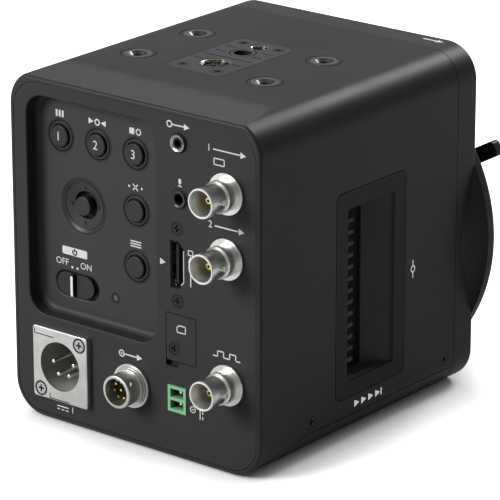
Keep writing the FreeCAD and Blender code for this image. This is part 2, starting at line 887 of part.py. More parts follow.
def make_bottom_cover():
    """Tray that closes the base, with ears that the side screws pull against."""
    cover = Piece("bottom_cover")
    back = S.cover_reach - S.seam_gap
    length = back - seam - S.seam_gap
    outline = cover.sketch("XZ", back).rounded(
        -half_width, half_width, 0, S.body_height, S.corner_radius)
    cover.pad(outline, length, -1)
    above = cover.sketch("XZ", back).polygon([
        (-half_width - 1, S.cover_height - S.seam_gap),
        (half_width + 1, S.cover_height - S.seam_gap),
        (half_width + 1, S.body_height + 1), (-half_width - 1, S.body_height + 1)])
    cover.pocket(above, length, -1)
    hollow = cover.sketch("XZ", back).rounded(
        -inner_half, inner_half, S.base_wall, S.body_height,
        S.corner_radius - S.side_wall)
    cover.pocket(hollow, length, -1)
    posts = cover.sketch("XY", S.base_wall - 0.5)
    for across in (-32.0, 32.0):
        for along in (-38.0, 22.0):
            posts.circle(across, along, 3.0)
    cover.pad(posts, S.chassis_base - S.base_wall + 0.5, 1)
    pads = cover.sketch("XY", S.base_wall - 0.5)
    pads.circle(0, 0, S.small_bush + 3)
    bush_top = S.thread_deep - S.plate_thick
    cover.pad(pads, bush_top - S.base_wall + 0.5, 1)
    cover.pad(cover.sketch("XY", S.base_wall - 0.5).circle(0, S.base_large_back,
                                                           S.large_bush + 2.5),
              bush_top - S.base_wall + 0.5, 1)
    bores = cover.sketch("XY", 0)
    bores.circle(0, 0, S.small_bush)
    bores.circle(0, S.base_large_back, S.large_bush)
    cover.pocket(bores, S.thread_deep, 1)
    for side, along in side_screw_places:
        start = inner_half - 3.2 if side > 0 else 1.2 - inner_half
        ear = cover.sketch("YZ", start).rounded(
            along - 4.0, along + 4.0, S.cover_height - 4.0, S.side_screw_up + 3.5, 1.5)
        cover.pad(ear, 2.0, 1)
        cover.pocket(cover.sketch("YZ", start - 1).circle(
            along, S.side_screw_up, S.screw_shank + S.screw_gap), 4.0, 1)
    return node(cover)


def make_intake_vent():
    """Moulded side insert: a flush frame, a ramp that falls inward, and a comb of bars."""
    vent = Piece("intake_vent")
    gap = S.seam_gap
    outer = vent.sketch("YZ", -half_width).rounded(
        S.vent_front + gap, S.vent_back - gap, S.vent_base + gap, S.vent_top - gap,
        S.vent_corner - gap)
    vent.pad(outer, S.vent_deep, 1)
    mouth_front = S.vent_front + S.vent_frame - 0.2
    mouth_back = S.vent_back - S.vent_frame
    mouth_base = S.vent_base + S.vent_frame - 0.6
    mouth_top = S.vent_top - S.vent_frame
    mouth = vent.sketch("YZ", -half_width).rounded(
        mouth_front + S.ramp_length, mouth_back, mouth_base, mouth_top, 0.8)
    vent.pocket(mouth, S.vent_deep + 1, 1)
    ramp = vent.sketch("XY", mouth_base).polygon([
        (-half_width - 0.1, mouth_front), (-half_width - 0.1, mouth_front + S.ramp_length + 1),
        (-half_width + S.vent_deep - 1.0, mouth_front + S.ramp_length + 1),
        (-half_width + S.vent_deep - 1.0, mouth_front + S.ramp_length)])
    vent.pocket(ramp, mouth_top - mouth_base, 1)
    bars = vent.sketch("XZ", mouth_back + 0.5)
    for i in range(13):
        up = (mouth_base + mouth_top) / 2 + S.bar_pitch * (i - 6)
        bars.polygon([
            (-half_width + S.bar_inset, up - S.bar_thick / 2),
            (-half_width + S.vent_deep, up - S.bar_thick / 2),
            (-half_width + S.vent_deep, up + S.bar_thick / 2),
            (-half_width + S.bar_inset, up + S.bar_thick / 2)])
    vent.pad(bars, S.bar_length + 0.5, -1)
    return node(vent)


def make_top_plate():
    """Accessory plate: thread windows, a locating hole and broken anti-slip grooves."""
    plate = Piece("top_plate")
    top = S.body_height
    half = S.plate_width / 2
    outline = plate.sketch("XY", top).rounded(
        S.pattern_across - half, S.pattern_across + half, -S.plate_long / 2, S.plate_long / 2,
        S.plate_corner - S.seam_gap)
    plate.pad(outline, S.plate_thick, -1)
    carrier = plate.sketch("XY", top - S.plate_thick + 0.5).polygon(thread_block_outline(0))
    plate.pad(carrier, S.thread_deep - S.plate_thick + 0.5, -1)
    holes = plate.sketch("XY", top)
    holes.circle(S.pattern_across, S.large_back, S.large_bush - 0.3)
    holes.circle(S.pattern_across, -S.small_front, S.small_bush - 0.3)
    for across, along in plate_screw_places:
        holes.circle(across, along, S.screw_shank + S.screw_gap)
    plate.pocket(holes, S.plate_thick + 1, -1)
    seats = plate.sketch("XY", top - S.plate_thick)
    seats.circle(S.pattern_across, S.large_back, S.large_bush)
    seats.circle(S.pattern_across, -S.small_front, S.small_bush)
    plate.pocket(seats, S.thread_deep, -1)
    plate.pocket(plate.sketch("XY", top).circle(S.pattern_across, -S.pin_front, S.pin_bore),
                 S.pin_deep, -1)
    ring = plate.sketch("XY", top)
    ring.circle(S.pattern_across, -S.pin_front, S.pin_bore + 1.5)
    ring.circle(S.pattern_across, -S.pin_front, S.pin_bore + 1.1)
    plate.pocket(ring, S.groove_deep / 2, -1)
    heads = plate.sketch("XY", top)
    for across, along in plate_screw_places:
        heads.circle(across, along, S.screw_head + S.screw_gap)
    plate.pocket(heads, 0.9, -1)
    middle = S.groove_pitch * 0.22
    cuts = plate.sketch("XY", top)
    full_half = half - 1.9
    radius = S.groove_width / 2
    left, right = S.pattern_across - full_half, S.pattern_across + full_half
    cuts.stadium(left, right, middle, radius)
    for along, clear in [(middle + S.groove_pitch, S.large_bush + 0.6),
                         (middle - S.groove_pitch, S.pin_bore + 2.3),
                         (middle - S.groove_pitch * 2, S.pin_bore + 2.3)]:
        cuts.stadium(left, S.pattern_across - clear, along, radius)
        cuts.stadium(S.pattern_across + clear, right, along, radius)
    plate.pocket(cuts, S.groove_deep, -1)
    return node(plate)


def make_screw(name, head, shank, length, thick, slot):
    """A cross-recessed screw along -Z with its head's top at the origin."""
    top = rod(name + "_head", (0, 0, -thick), "+Z", head, thick)
    stem = rod(name + "_stem", (0, 0, -length), "+Z", shank, length - thick + 0.1)
    reach = head * 0.62
    first = block(name + "_slot_a", (-reach, -slot / 2, -thick * 0.65), (reach, slot / 2, 1))
    second = block(name + "_slot_b", (-slot / 2, -reach, -thick * 0.65), (slot / 2, reach, 1))
    return cut(name, join(name + "_blank", [top, stem]), [first, second])


def make_screws():
    small = make_screw("small_screw", S.screw_head, S.screw_shank, S.screw_length, size(0.9),
                       size(0.6))
    node(group("plate_screws", copies(
        "plate_screws", small,
        [(x, y, S.body_height) for x, y in plate_screw_places])))
    points = [(half_width * side, along, S.side_screw_up) for side, along in side_screw_places]
    points += [(S.video_across, rear, up) for up in video_screw_heights]
    points += [(x, rear + S.inlet_thick, z) for x, z in inlet_screw_places]
    turns = ["+X" if side > 0 else "-X" for side, _ in side_screw_places] + ["+Y"] * 4
    node(group("case_screws", copies("case_screws", small, points, turns)))


def make_threads():
    ring = rod("insert_sleeve", (0, 0, -S.thread_deep), "+Z", S.insert_radius, S.thread_deep)
    bore = rod("insert_hole", (0, 0, -S.thread_deep + 1), "+Z", S.insert_bore, S.thread_deep)
    sink = doc.addObject("Part::Cone", "insert_sink")
    sink.setExpression("Radius1", S.insert_bore.text)
    sink.setExpression("Radius2", (S.insert_bore + 1.0).text)
    sink.Height = 1.0
    place(sink, (0, 0, -1.0))
    insert = cut("insert", ring, [bore, sink])
    node(group("thread_inserts", copies(
        "thread_inserts", insert, [(x, y, S.body_height) for x, y in insert_places])))
    bushes = []
    for name, outer, inner in (("large_thread", S.large_bush, S.large_bore),
                               ("small_thread", S.small_bush, S.small_bore)):
        sleeve = rod(name + "_sleeve", (0, 0, 0), "+Z", outer, S.thread_deep - S.plate_thick)
        hole = rod(name + "_hole", (0, 0, 1), "+Z", inner, S.thread_deep)
        bushes.append(cut(name, sleeve, [hole]))
    start = S.body_height - S.thread_deep
    node(group("top_threads",
               copies("top_large", bushes[0], [(S.pattern_across, S.large_back, start)])
               + copies("top_small", bushes[1], [(S.pattern_across, -S.small_front, start)])))
    base_start = S.thread_deep - S.plate_thick
    node(group("base_threads",
               copies("base_small", bushes[1], [(0, 0, base_start)], ["-Z"])
               + copies("base_large", bushes[0], [(0, S.base_large_back, base_start)], ["-Z"])))


# Controls

def make_buttons():
    """Each key has a low collar, a groove, and a rounded cap that stands proud."""
    for label, (across, up) in key_places.items():
        button = Piece(label)
        collar_face = recess_face + 0.15
        face = recess_face + S.button_proud
        collar = button.sketch("XZ", collar_face).circle(across, up, S.button_radius)
        button.pad(collar, collar_face - recess_back + 0.3, -1)
        flange = button.sketch("XZ", recess_back - 0.3).circle(across, up, S.button_radius + 1.0)
        button.pad(flange, 0.7, -1)
        groove = button.sketch("XZ", collar_face).circle(across, up, S.button_dome + 0.5)
        button.pocket(groove, 0.9, -1)
        cap = button.sketch("XZ", face).circle(across, up, S.button_dome)
        button.pad(cap, face - recess_face + 1.0, -1)
        button.round_edges(0.45, lambda edge: edge_lies(edge, "Y", face.value))
        button.round_edges(0.3, lambda edge: edge_lies(edge, "Y", collar_face.value)
                           and edge_spans(edge, "X", 2 * S.button_radius.value))
        node(button)


def make_joystick():
    """A bowl let into the panel, and a capped stick on a yoke that also presses."""
    across, up = S.stick_across, S.stick_up
    dip, slope = 0.55, 0.75
    plate_face = recess_face - dip
    flange = rod("stick_flange", (across, recess_face - S.stick_seat, up), "+Y", S.stick_ring,
                 S.stick_seat)
    sleeve = rod("stick_sleeve", (across, recess_back - 0.2, up), "+Y", S.stick_ring - 1.05,
                 S.recess_floor - S.stick_seat + 0.3)
    bowl = doc.addObject("Part::Cone", "stick_bowl")
    dish = doc.addObject("Part::Cone", "stick_dish")
    for cone, base, low_radius, high_radius, height in (
            (bowl, plate_face, S.stick_plate, S.stick_ring + 0.1, size(dip + 0.1)),
            (dish, plate_face - slope, S.stick_hole, S.stick_plate - 0.2, size(slope))):
        cone.Placement = FreeCAD.Placement(V(0, 0, 0), QUARTER_TURNS["+Y"])
        cone.setExpression("Radius1", size(low_radius).text)
        cone.setExpression("Radius2", size(high_radius).text)
        cone.setExpression("Height", height.text)
        place(cone, (across, base, up))
    hole = rod("stick_bore", (across, recess_back - 1, up), "+Y", S.stick_hole,
               S.recess_floor + 2)
    outer_cut = rod("stick_gap_outer", (across, plate_face - 0.3, up), "+Y", S.stick_plate, 0.5)
    inner_cut = rod("stick_gap_inner", (across, plate_face - 0.6, up), "+Y",
                    S.stick_plate - 0.2, 1.0)
    gap = cut("stick_gap", outer_cut, [inner_cut])
    node(cut("joystick_ring", join("stick_blank", [flange, sleeve]),
             [bowl, dish, hole, gap]))
    base_top = recess_back - 0.3
    base = Piece("joystick_base")
    box = base.sketch("XZ", base_top).rounded(
        across - 7.0, across + 7.0, up - 7.0, up + 7.0, 1.0)
    base.pad(box, base_top - board_front, -1)
    well = base.sketch("XZ", base_top).circle(across, up, S.stick_hole + 0.45)
    base.pocket(well, base_top - board_front + 1, -1)
    node(base)
    plunger_low = board_front + S.stick_press + 0.1
    pivot = plunger_low + 2.2
    disc = rod("plunger_disc", (across, plunger_low, up), "+Y", S.stick_hole + 0.15, 0.6)
    post = rod("plunger_post", (across, plunger_low, up), "+Y", 0.9, 2.0)
    node(join("joystick_plunger", [disc, post]))
    yoke_ring = rod("yoke_ring", (across, pivot - 0.4, up), "+Y", 2.8, 0.8)
    yoke_hole = rod("yoke_hole", (across, pivot - 1.4, up), "+Y", 1.5, 2.8)
    node(cut("joystick_yoke", yoke_ring, [yoke_hole]))
    knob = Piece("joystick_cap")
    low = pivot + 1.0
    high = recess_face + 0.55
    cap = knob.sketch("XZ", high).circle(across, up, S.stick_knob)
    knob.pad(cap, high - low, -1)
    stub = knob.sketch("XZ", low).circle(across, up, 0.6)
    knob.pad(stub, 0.9, -1)
    knob.round_edges(0.5, lambda edge: edge_lies(edge, "Y", high.value))
    node(knob)
    return pivot


def make_power_switch():
    radius = S.switch_tall / 2 - S.button_gap
    long = S.switch_long - S.switch_travel - S.button_gap * 2
    left = S.switch_across - S.button_gap
    slider = Piece("power_slider")
    face = recess_face - 0.25
    ridge = left - S.ridge_back
    ridge_half = S.ridge_width / 2
    cap = slider.sketch("XZ", face).stadium(left - long, left, S.switch_up, radius)
    slider.pad(cap, face - recess_back + 0.3, -1)
    plate = slider.sketch("XZ", recess_back - 0.3).rounded(
        left - long - 3.5, left + 3.0, S.switch_up - radius - 1.0, S.switch_up + radius + 1.0, 1.0)
    slider.pad(plate, 0.7, -1)
    groove = slider.sketch("XZ", face).polygon([
        (ridge - ridge_half - 0.65, S.switch_up - radius),
        (ridge - ridge_half, S.switch_up - radius),
        (ridge - ridge_half, S.switch_up + radius),
        (ridge - ridge_half - 0.65, S.switch_up + radius)])
    slider.pocket(groove, 0.6, -1)
    rib = slider.sketch("XZ", recess_face + 1.0).polygon([
        (ridge - ridge_half, S.switch_up - radius + 0.1),
        (ridge + ridge_half, S.switch_up - radius + 0.1),
        (ridge + ridge_half, S.switch_up + radius - 0.1),
        (ridge - ridge_half, S.switch_up + radius - 0.1)])
    slider.pad(rib, 1.8, -1)
    node(slider)
    middle = left - long / 2
    node(block("power_switch", (middle - 7, board_front, S.switch_up - 3),
               (middle + 7, recess_back - 1.4, S.switch_up + 3)))


def make_lamp():
    stem = rod("lamp_stem", (S.lamp_across, board_front, S.lamp_up), "+Y", S.lamp_radius,
               recess_face - board_front - 0.1)
    foot = rod("lamp_foot", (S.lamp_across, board_front, S.lamp_up), "+Y",
               S.lamp_radius + 0.5, recess_back - board_front - 0.4)
    node(join("status_lamp", [stem, foot]))


def make_key_board():
    board = Piece("key_board")
    outline = board.sketch("XZ", board_front).rounded(
        S.recess_right + 1.6, S.recess_left + 1.0, S.recess_base, S.recess_top - 1.0, 1.5)
    board.pad(outline, S.board_thick, -1)
    node(board)
    switches = []
    for label, (across, up) in key_places.items():
        box = block(label + "_switch_box", (across - 2.6, board_front, up - 2.6),
                    (across + 2.6, board_front + 0.8, up + 2.6))
        dome = rod(label + "_switch_dome", (across, board_front, up), "+Y", 1.5,
                   recess_back - 1.3 - S.button_travel - board_front)
        switches.append(join(label + "_switch", [box, dome]))
    node(group("key_switches", switches))


# Connectors

def make_power_inlet():
    across, up = S.inlet_across, S.inlet_up
    face = rear + S.inlet_thick
    shell = Piece("inlet_shell")
    half = S.inlet_width / 2
    tall = S.inlet_tall / 2
    flange = shell.sketch("XZ", face).rounded(
        across - half, across + half, up - tall, up + tall, 1.0)
    shell.pad(flange, S.inlet_thick, -1)
    shell.round_edges(0.35, lambda edge: edge_lies(edge, "Y", face.value))
    barrel = shell.sketch("XZ", rear + 0.5).circle(across, up, S.inlet_barrel)
    shell.pad(barrel, S.inlet_deep - S.inlet_thick + 0.5, -1)
    cavity = shell.sketch("XZ", face).circle(across, up, S.inlet_cavity)
    shell.pocket(cavity, S.inlet_deep + 1, -1)
    for x, z in inlet_screw_places:
        shell.pocket(shell.sketch("XZ", face).circle(x, z, S.screw_head + S.screw_gap * 2), 1.1, -1)
        shell.pocket(shell.sketch("XZ", face).circle(x, z, S.screw_shank + S.screw_gap),
                     S.inlet_thick + 1, -1)
    node(shell)
    back = face - S.inlet_deep
    disc = Piece("inlet_insulator")
    disc.pad(disc.sketch("XZ", back).circle(across, up, S.inlet_cavity - 0.05), 3.0, 1)
    places = [(4.25, 0.6), (-4.25, 0.9), (2.2, -3.4), (-2.2, -3.1)]
    bores = disc.sketch("XZ", back)
    for x, z in places:
        bores.circle(across + x, up + z, S.inlet_pin + 0.05)
    disc.pocket(bores, 4.0, 1)
    node(disc)
    length = face - S.pin_recess - back
    pin = Piece("inlet_pin")
    pin.pad(pin.sketch("XY", 0).circle(0, 0, S.inlet_pin), length, 1)
    pin.round_edges(0.4, lambda edge: edge_lies(edge, "Z", length.value))
    node(group("inlet_pins", copies(
        "inlet_pins", pin.body, [(across + x, back, up + z) for x, z in places], ["+Y"] * 4)))


def make_remote_socket():
    across, up = S.remote_across, S.remote_up
    tip = rear + S.remote_reach
    shell = Piece("remote_shell")
    shell.pad(shell.sketch("XZ", tip).circle(across, up, S.remote_barrel),
              tip - board_front, -1)
    shell.round_edges(0.5, lambda edge: edge_lies(edge, "Y", tip.value))
    steps = ((0.9, S.remote_flange), (1.5, S.remote_flange - 0.95), (2.1, S.remote_barrel + 0.35))
    for height, radius in steps:
        step = shell.sketch("XZ", rear + height).circle(across, up, radius)
        shell.pad(step, height, -1)
    for (height, _), (_, next_radius) in zip(steps, steps[1:]):
        ring = shell.sketch("XZ", rear + height).circle(across, up, next_radius + 0.25)
        ring.circle(across, up, next_radius)
        shell.pocket(ring, 0.3, -1)
    shell.pocket(shell.sketch("XZ", tip).circle(across, up, S.remote_bore),
                 tip - board_front + 1, -1)
    node(shell)
    insert_face = tip - S.remote_recess
    insert = Piece("remote_insulator")
    insert.pad(insert.sketch("XZ", insert_face).circle(across, up, S.remote_bore - 0.05), 6.0, -1)
    places = [turned(S.remote_circle, 90 + 360.0 / 7 * i) for i in range(7)] + [(size(0), size(0))]
    holes = insert.sketch("XZ", insert_face)
    for x, z in places:
        holes.circle(across + x, up + z, S.remote_pin + 0.05)
    insert.pocket(holes, 7.0, -1)
    node(insert)
    pin = rod("remote_pin_one", (0, 0, 0), "+Z", S.remote_pin, 6.0 + S.remote_recess / 2)
    node(group("remote_pins", copies(
        "remote_pins", pin,
        [(across + x, insert_face - 6.0, up + z) for x, z in places], ["+Y"] * 8)))


def make_terminal_block():
    across, up = S.block_across, S.block_up
    half, tall = S.block_width / 2, S.block_tall / 2
    face = rear + S.block_proud
    body = Piece("terminal_block")
    outline = body.sketch("XZ", face).polygon([
        (across - half, up - tall), (across + half, up - tall),
        (across + half, up + tall), (across - half, up + tall)])
    body.pad(outline, face - board_front, -1)
    wells = body.sketch("XZ", face)
    for sign in (-1, 1):
        middle = up + S.block_tall / 4 * sign - S.block_wall / 4 * sign
        reach = S.block_tall / 4 - S.block_wall * 0.75
        wells.polygon([
            (across - half + S.block_wall, middle - reach),
            (across + half - S.block_wall, middle - reach),
            (across + half - S.block_wall, middle + reach),
            (across - half + S.block_wall, middle + reach)])
    body.pocket(wells, S.block_deep, -1)
    node(body)
    floor_y = face - S.block_deep
    pins = []
    for i, sign in enumerate((-1, 1)):
        middle = up + S.block_tall / 4 * sign - S.block_wall / 4 * sign
        pins.append(block("terminal_pin_%d" % (i + 1),
                          (across - S.block_pin / 2, floor_y, middle - S.block_pin / 2),
                          (across + S.block_pin / 2, floor_y + S.block_deep - 2.0,
                           middle + S.block_pin / 2)))
    node(group("terminal_pins", pins))


def make_jacks():
    for label, up, bore, proud in (("remote_jack", S.jack_upper, 1.25, 0.6),
                                   ("microphone_jack", S.jack_lower, 1.75, 0.3)):
        jack = Piece(label)
        tip = rear + proud
        jack.pad(jack.sketch("XZ", tip).circle(S.jack_across, up, S.jack_ring),
                 tip - board_front, -1)
        jack.pad(jack.sketch("XZ", panel_inside - 0.3).rounded(
            S.jack_across - 4, S.jack_across + 4, up - 4, up + 4, 0.8),
            panel_inside - 0.3 - board_front, -1)
        jack.round_edges(0.3, lambda edge: edge_lies(edge, "Y", tip.value))
        jack.pocket(jack.sketch("XZ", tip).circle(S.jack_across, up, bore),
                    tip - board_front - 0.8, -1)
        node(jack)


def make_coax():
    """One bayonet coaxial socket, modelled along +Z from the panel's face, used three times."""
    shell = Piece("coax_shell")
    tip = S.coax_reach
    inward = rear - board_front
    half = shell.sketch("XZ", 0)
    shoulder = S.coax_shoulder
    half.polygon([
        (S.coax_bore, -inward), (S.coax_body, -inward), (S.coax_body, 0),
        (S.coax_flange, 0), (S.coax_flange, 0.9), (S.coax_body, 0.9),
        (S.coax_body, shoulder), (S.coax_barrel - 0.3, shoulder + 0.6),
        (S.coax_barrel - 0.3, tip - 2.6), (S.coax_barrel, tip - 2.2),
        (S.coax_barrel, tip - 0.3), (S.coax_barrel - 0.3, tip), (S.coax_bore + 0.15, tip),
        (S.coax_bore, tip - 0.4)])
    shell.revolve(half)
    lugs = shell.sketch("YZ", -S.coax_barrel - 0.9).circle(0, tip - 5.3, S.coax_lug)
    shell.pad(lugs, 1.4, 1)
    lugs = shell.sketch("YZ", S.coax_barrel + 0.9).circle(0, tip - 5.3, S.coax_lug)
    shell.pad(lugs, 1.4, -1)
    places = [(S.coax_across, rear, up) for up in coax_heights]
    node(group("coax_shells", copies("coax_shells", shell.body, places, ["+Y"] * 3)))
    disc = rod("coax_disc", (0, 0, -inward), "+Z", S.coax_bore - 0.05, inward)
    hole = rod("coax_disc_hole", (0, 0, -inward - 1), "+Z", S.coax_contact + 0.05, inward + 5)
    insulator = cut("coax_insulator", disc, [hole])
    node(group("coax_insulators", copies("coax_insulators", insulator, places, ["+Y"] * 3)))
    stem = rod("coax_stem", (0, 0, -inward), "+Z", S.coax_contact, inward + tip - 3.8)
    bore = rod("coax_stem_bore", (0, 0, tip - 9), "+Z", 0.5, 9)
    contact = cut("coax_contact", stem, [bore])
    node(group("coax_contacts", copies("coax_contacts", contact, places, ["+Y"] * 3)))


def make_video_socket():
    shell = Piece("video_socket")
    face = rear - 0.3
    shell.pad(shell.sketch("XZ", face).polygon(video_outline(size(0))), face - board_front, -1)
    inner = shell.sketch("XZ", face).polygon(video_outline(-S.video_wall))
    shell.pocket(inner, face - board_front - 1.0, -1)
    node(shell)
    tongue_across = S.video_across + S.video_width * 0.16
    node(block("video_tongue", (tongue_across - 0.5, board_front + 1.0, S.video_up - 6.4),
               (tongue_across + 0.5, face - 0.9, S.video_up + 6.4)))


def make_card_door():
    door = Piece("card_door")
    outline = door.sketch("XZ", rear).rounded(
        S.door_right, S.door_left, S.door_base, S.door_top, 0.7)
    door.pad(outline, S.door_thick, -1)
    pin_y = rear - S.door_thick / 2
    pin_z = S.door_top - 1.1
    hole = door.sketch("YZ", S.door_right - 1).circle(pin_y, pin_z, S.door_pin + S.pin_gap)
    door.pocket(hole, S.door_left - S.door_right + 2, 1)
    screw_x, screw_z = S.door_left - 3.2, S.door_base + 4.1
    door.pocket(door.sketch("XZ", rear).circle(screw_x, screw_z, S.screw_head + S.screw_gap), 0.9, -1)
    door.pocket(door.sketch("XZ", rear).circle(screw_x, screw_z, S.screw_shank + S.screw_gap), 3, -1)
    node(door)
    screw = make_screw("door_screw_blank", S.screw_head, S.screw_shank, size(2.6), size(0.9),
                       size(0.6))
    node(group("card_door_screw", copies("card_door_screw", screw,
                                         [(screw_x, rear, screw_z)], ["+Y"])))
    node(rod("card_hinge_pin", (S.door_right - S.door_gap - 2, pin_y, pin_z), "+X",
             S.door_pin, S.door_left - S.door_right + S.door_gap * 2 + 4))
    socket = Piece("card_socket")
    pocket_back = rear - S.door_deep
    frame = socket.sketch("XZ", panel_inside - 0.3).rounded(
        S.door_right - 1.2, S.door_left + 1.2, S.door_base - 1.2, S.door_top + 1.2, 1.0)
    socket.pad(frame, panel_inside - 0.3 - board_front, -1)
    hollow = socket.sketch("XZ", panel_inside - 0.3).rounded(
        S.door_right, S.door_left, S.door_base, S.door_top, 0.6)
    socket.pocket(hollow, panel_inside - 0.3 - pocket_back, -1)
    middle = (S.door_left + S.door_right) / 2
    slot = socket.sketch("XZ", pocket_back).polygon([
        (middle - 0.5, S.door_base + 2.0), (middle + 0.5, S.door_base + 2.0),
        (middle + 0.5, S.door_base + 13.2), (middle - 0.5, S.door_base + 13.2)])
    socket.pocket(slot, pocket_back - board_front - 0.6, -1)
    node(socket)


# Lens end

def make_lens_mount():
    mount = Piece("mount_blank")
    low = flange_plane
    ring = mount.sketch("XZ", low + S.mount_thick)
    ring.circle(0, S.lens_height, S.mount_radius - 0.1)
    ring.circle(0, S.lens_height, S.mount_bore)
    mount.pad(ring, S.mount_thick, -1)
    mount.round_edges(0.4, lambda edge: edge_lies(edge, "Y", low.value))
    heads = mount.sketch("XZ", low)
    shanks = mount.sketch("XZ", low)
    for x, z in mount_screw_places:
        heads.circle(x, z, S.screw_head + S.screw_gap)
        shanks.circle(x, z, S.screw_shank + S.screw_gap)
    mount.pocket(heads, 1.0, 1)
    mount.pocket(shanks, S.mount_thick + 1, 1)
    claws = []
    for i, middle in enumerate((90, 210, 330)):
        claw = doc.addObject("Part::Cylinder", "mount_claw_%d" % (i + 1))
        claw.setExpression("Radius", (S.mount_bore + 1).text)
        claw.setExpression("Height", S.bayonet_thick.text)
        claw.Angle = 52
        spin = FreeCAD.Rotation(V(0, 1, 0), -(middle - 26))
        claw.Placement = FreeCAD.Placement(V(0, 0, 0), spin * QUARTER_TURNS["-Y"])
        place(claw, (0, low + S.bayonet_thick, S.lens_height))
        claws.append(claw)
    core = rod("mount_core", (0, low + S.bayonet_thick + 1, S.lens_height), "-Y",
               S.bayonet_bore, S.bayonet_thick + 2)
    tabs = cut("mount_claws", join("mount_claw_blank", claws), [core])
    node(join("lens_mount", [mount.body, tabs]))
    screw = make_screw("mount_screw", S.screw_head, S.screw_shank, S.screw_length + 1,
                       size(0.9), size(0.6))
    node(group("mount_screws", copies(
        "mount_screws", screw, [(x, low + 0.1, z) for x, z in mount_screw_places], ["-Y"] * 4)))
    contact_top = S.lens_height - S.bayonet_bore + 3.6
    deep = low + S.mount_thick
    bar = block("contact_bar", (-10.5, low + 2.0, contact_top - 2.4), (10.5, deep + 5, contact_top))
    pegs = [rod("contact_peg_%d" % (i + 1), (-8.4 + 2.4 * i, low + 1.4, contact_top - 1.2), "+Y",
                0.5, 1.2) for i in range(8)]
    shelf = block("contact_shelf", (-10.5, deep + 3.0, S.lens_height - S.throat_radius + 2.3),
                  (10.5, deep + 5, contact_top - 2.0))
    node(join("mount_contacts", [bar, shelf] + pegs))


def make_lock_ring():
    """The turning ring round the mount, with the lever that reaches past the lip."""
    outer = S.boss_radius - S.lip_width - S.ring_gap
    ring = Piece("lock_ring_blank")
    back = well_floor - S.ring_gap
    face = lip_front - S.ring_proud
    annulus = ring.sketch("XZ", back)
    annulus.circle(0, S.lens_height, outer)
    annulus.circle(0, S.lens_height, S.mount_radius + S.ring_gap)
    ring.pad(annulus, back - face, -1)
    ring.round_edges(0.9, lambda edge: edge_lies(edge, "Y", face.value))
    tab_back = lip_front - S.ring_gap
    arm = doc.addObject("Part::Box", "lock_arm")
    arm.setExpression("Length", (S.tab_reach - outer + 2.5).text)
    arm.setExpression("Width", S.tab_thick.text)
    arm.setExpression("Height", S.tab_width.text)
    angle = sheet_angle()
    arm.Placement = FreeCAD.Placement(V(0, 0, 0), FreeCAD.Rotation(V(0, 1, 0), -angle))
    ux, uz = math.cos(math.radians(angle)), math.sin(math.radians(angle))
    start = outer - 2.5
    half = S.tab_width / 2
    place(arm, (start * ux + half * uz, tab_back - S.tab_thick,
                S.lens_height + start * uz - half * ux))
    soft = doc.addObject("Part::Fillet", "lock_arm_soft")
    soft.Base = arm
    doc.recompute()
    reach = S.tab_reach.value
    tip_round = S.tab_round.value
    soft.Edges = [(i + 1, tip_round, tip_round) for i, edge in enumerate(arm.Shape.Edges)
                  if math.hypot(edge.CenterOfMass.x,
                                edge.CenterOfMass.z - S.lens_height.value) > reach - 2.0
                  and edge.Length < S.tab_thick.value + 0.1]
    node(join("lock_ring", [ring.body, soft]))


def sheet_angle():
    return S.tab_angle.value


def make_optics():
    sensor_face = -S.sensor_front
    node(block("image_sensor",
               (-S.sensor_width / 2, sensor_face, S.lens_height - S.sensor_tall / 2),
               (S.sensor_width / 2, sensor_face + S.sensor_thick,
                S.lens_height + S.sensor_tall / 2)))
    board_start = sensor_face + S.sensor_thick
    node(block("sensor_board", (-18, board_start, S.lens_height - 14),
               (18, board_start + S.board_thick, S.lens_height + 12.5)))
    centre = S.lens_height + S.wheel_offset
    wheel = Piece("filter_wheel")
    disc = wheel.sketch("XZ", -S.wheel_front + S.wheel_thick)
    disc.circle(0, centre, S.wheel_radius)
    spots = []
    for i in range(3):
        x, z = turned(S.wheel_offset, -90 + 120 * i)
        spots.append((x, centre + z))
        disc.circle(x, centre + z, S.filter_radius + 0.05)
    disc.circle(0, centre, S.shaft_radius + S.shaft_gap)
    wheel.pad(disc, S.wheel_thick, -1)
    node(wheel)
    glass = rod("filter_glass", (0, 0, 0), "+Z", S.filter_radius, S.wheel_thick)
    node(group("filter_glasses", copies(
        "filter_glasses", glass, [(x, -S.wheel_front, z) for x, z in spots], ["+Y"] * 3)))
    mid_plate = board_start + S.board_thick
    body_front = -S.wheel_front + S.wheel_thick + 2.0
    can = rod("motor_can", (0, body_front, centre), "+Y", 7.0, mid_plate - body_front)
    shaft = rod("motor_shaft", (0, -S.wheel_front - 1.0, centre), "+Y", S.shaft_radius,
                body_front + S.wheel_front + 1.5)
    node(join("filter_motor", [can, shaft]))
    return mid_plate


# Inside

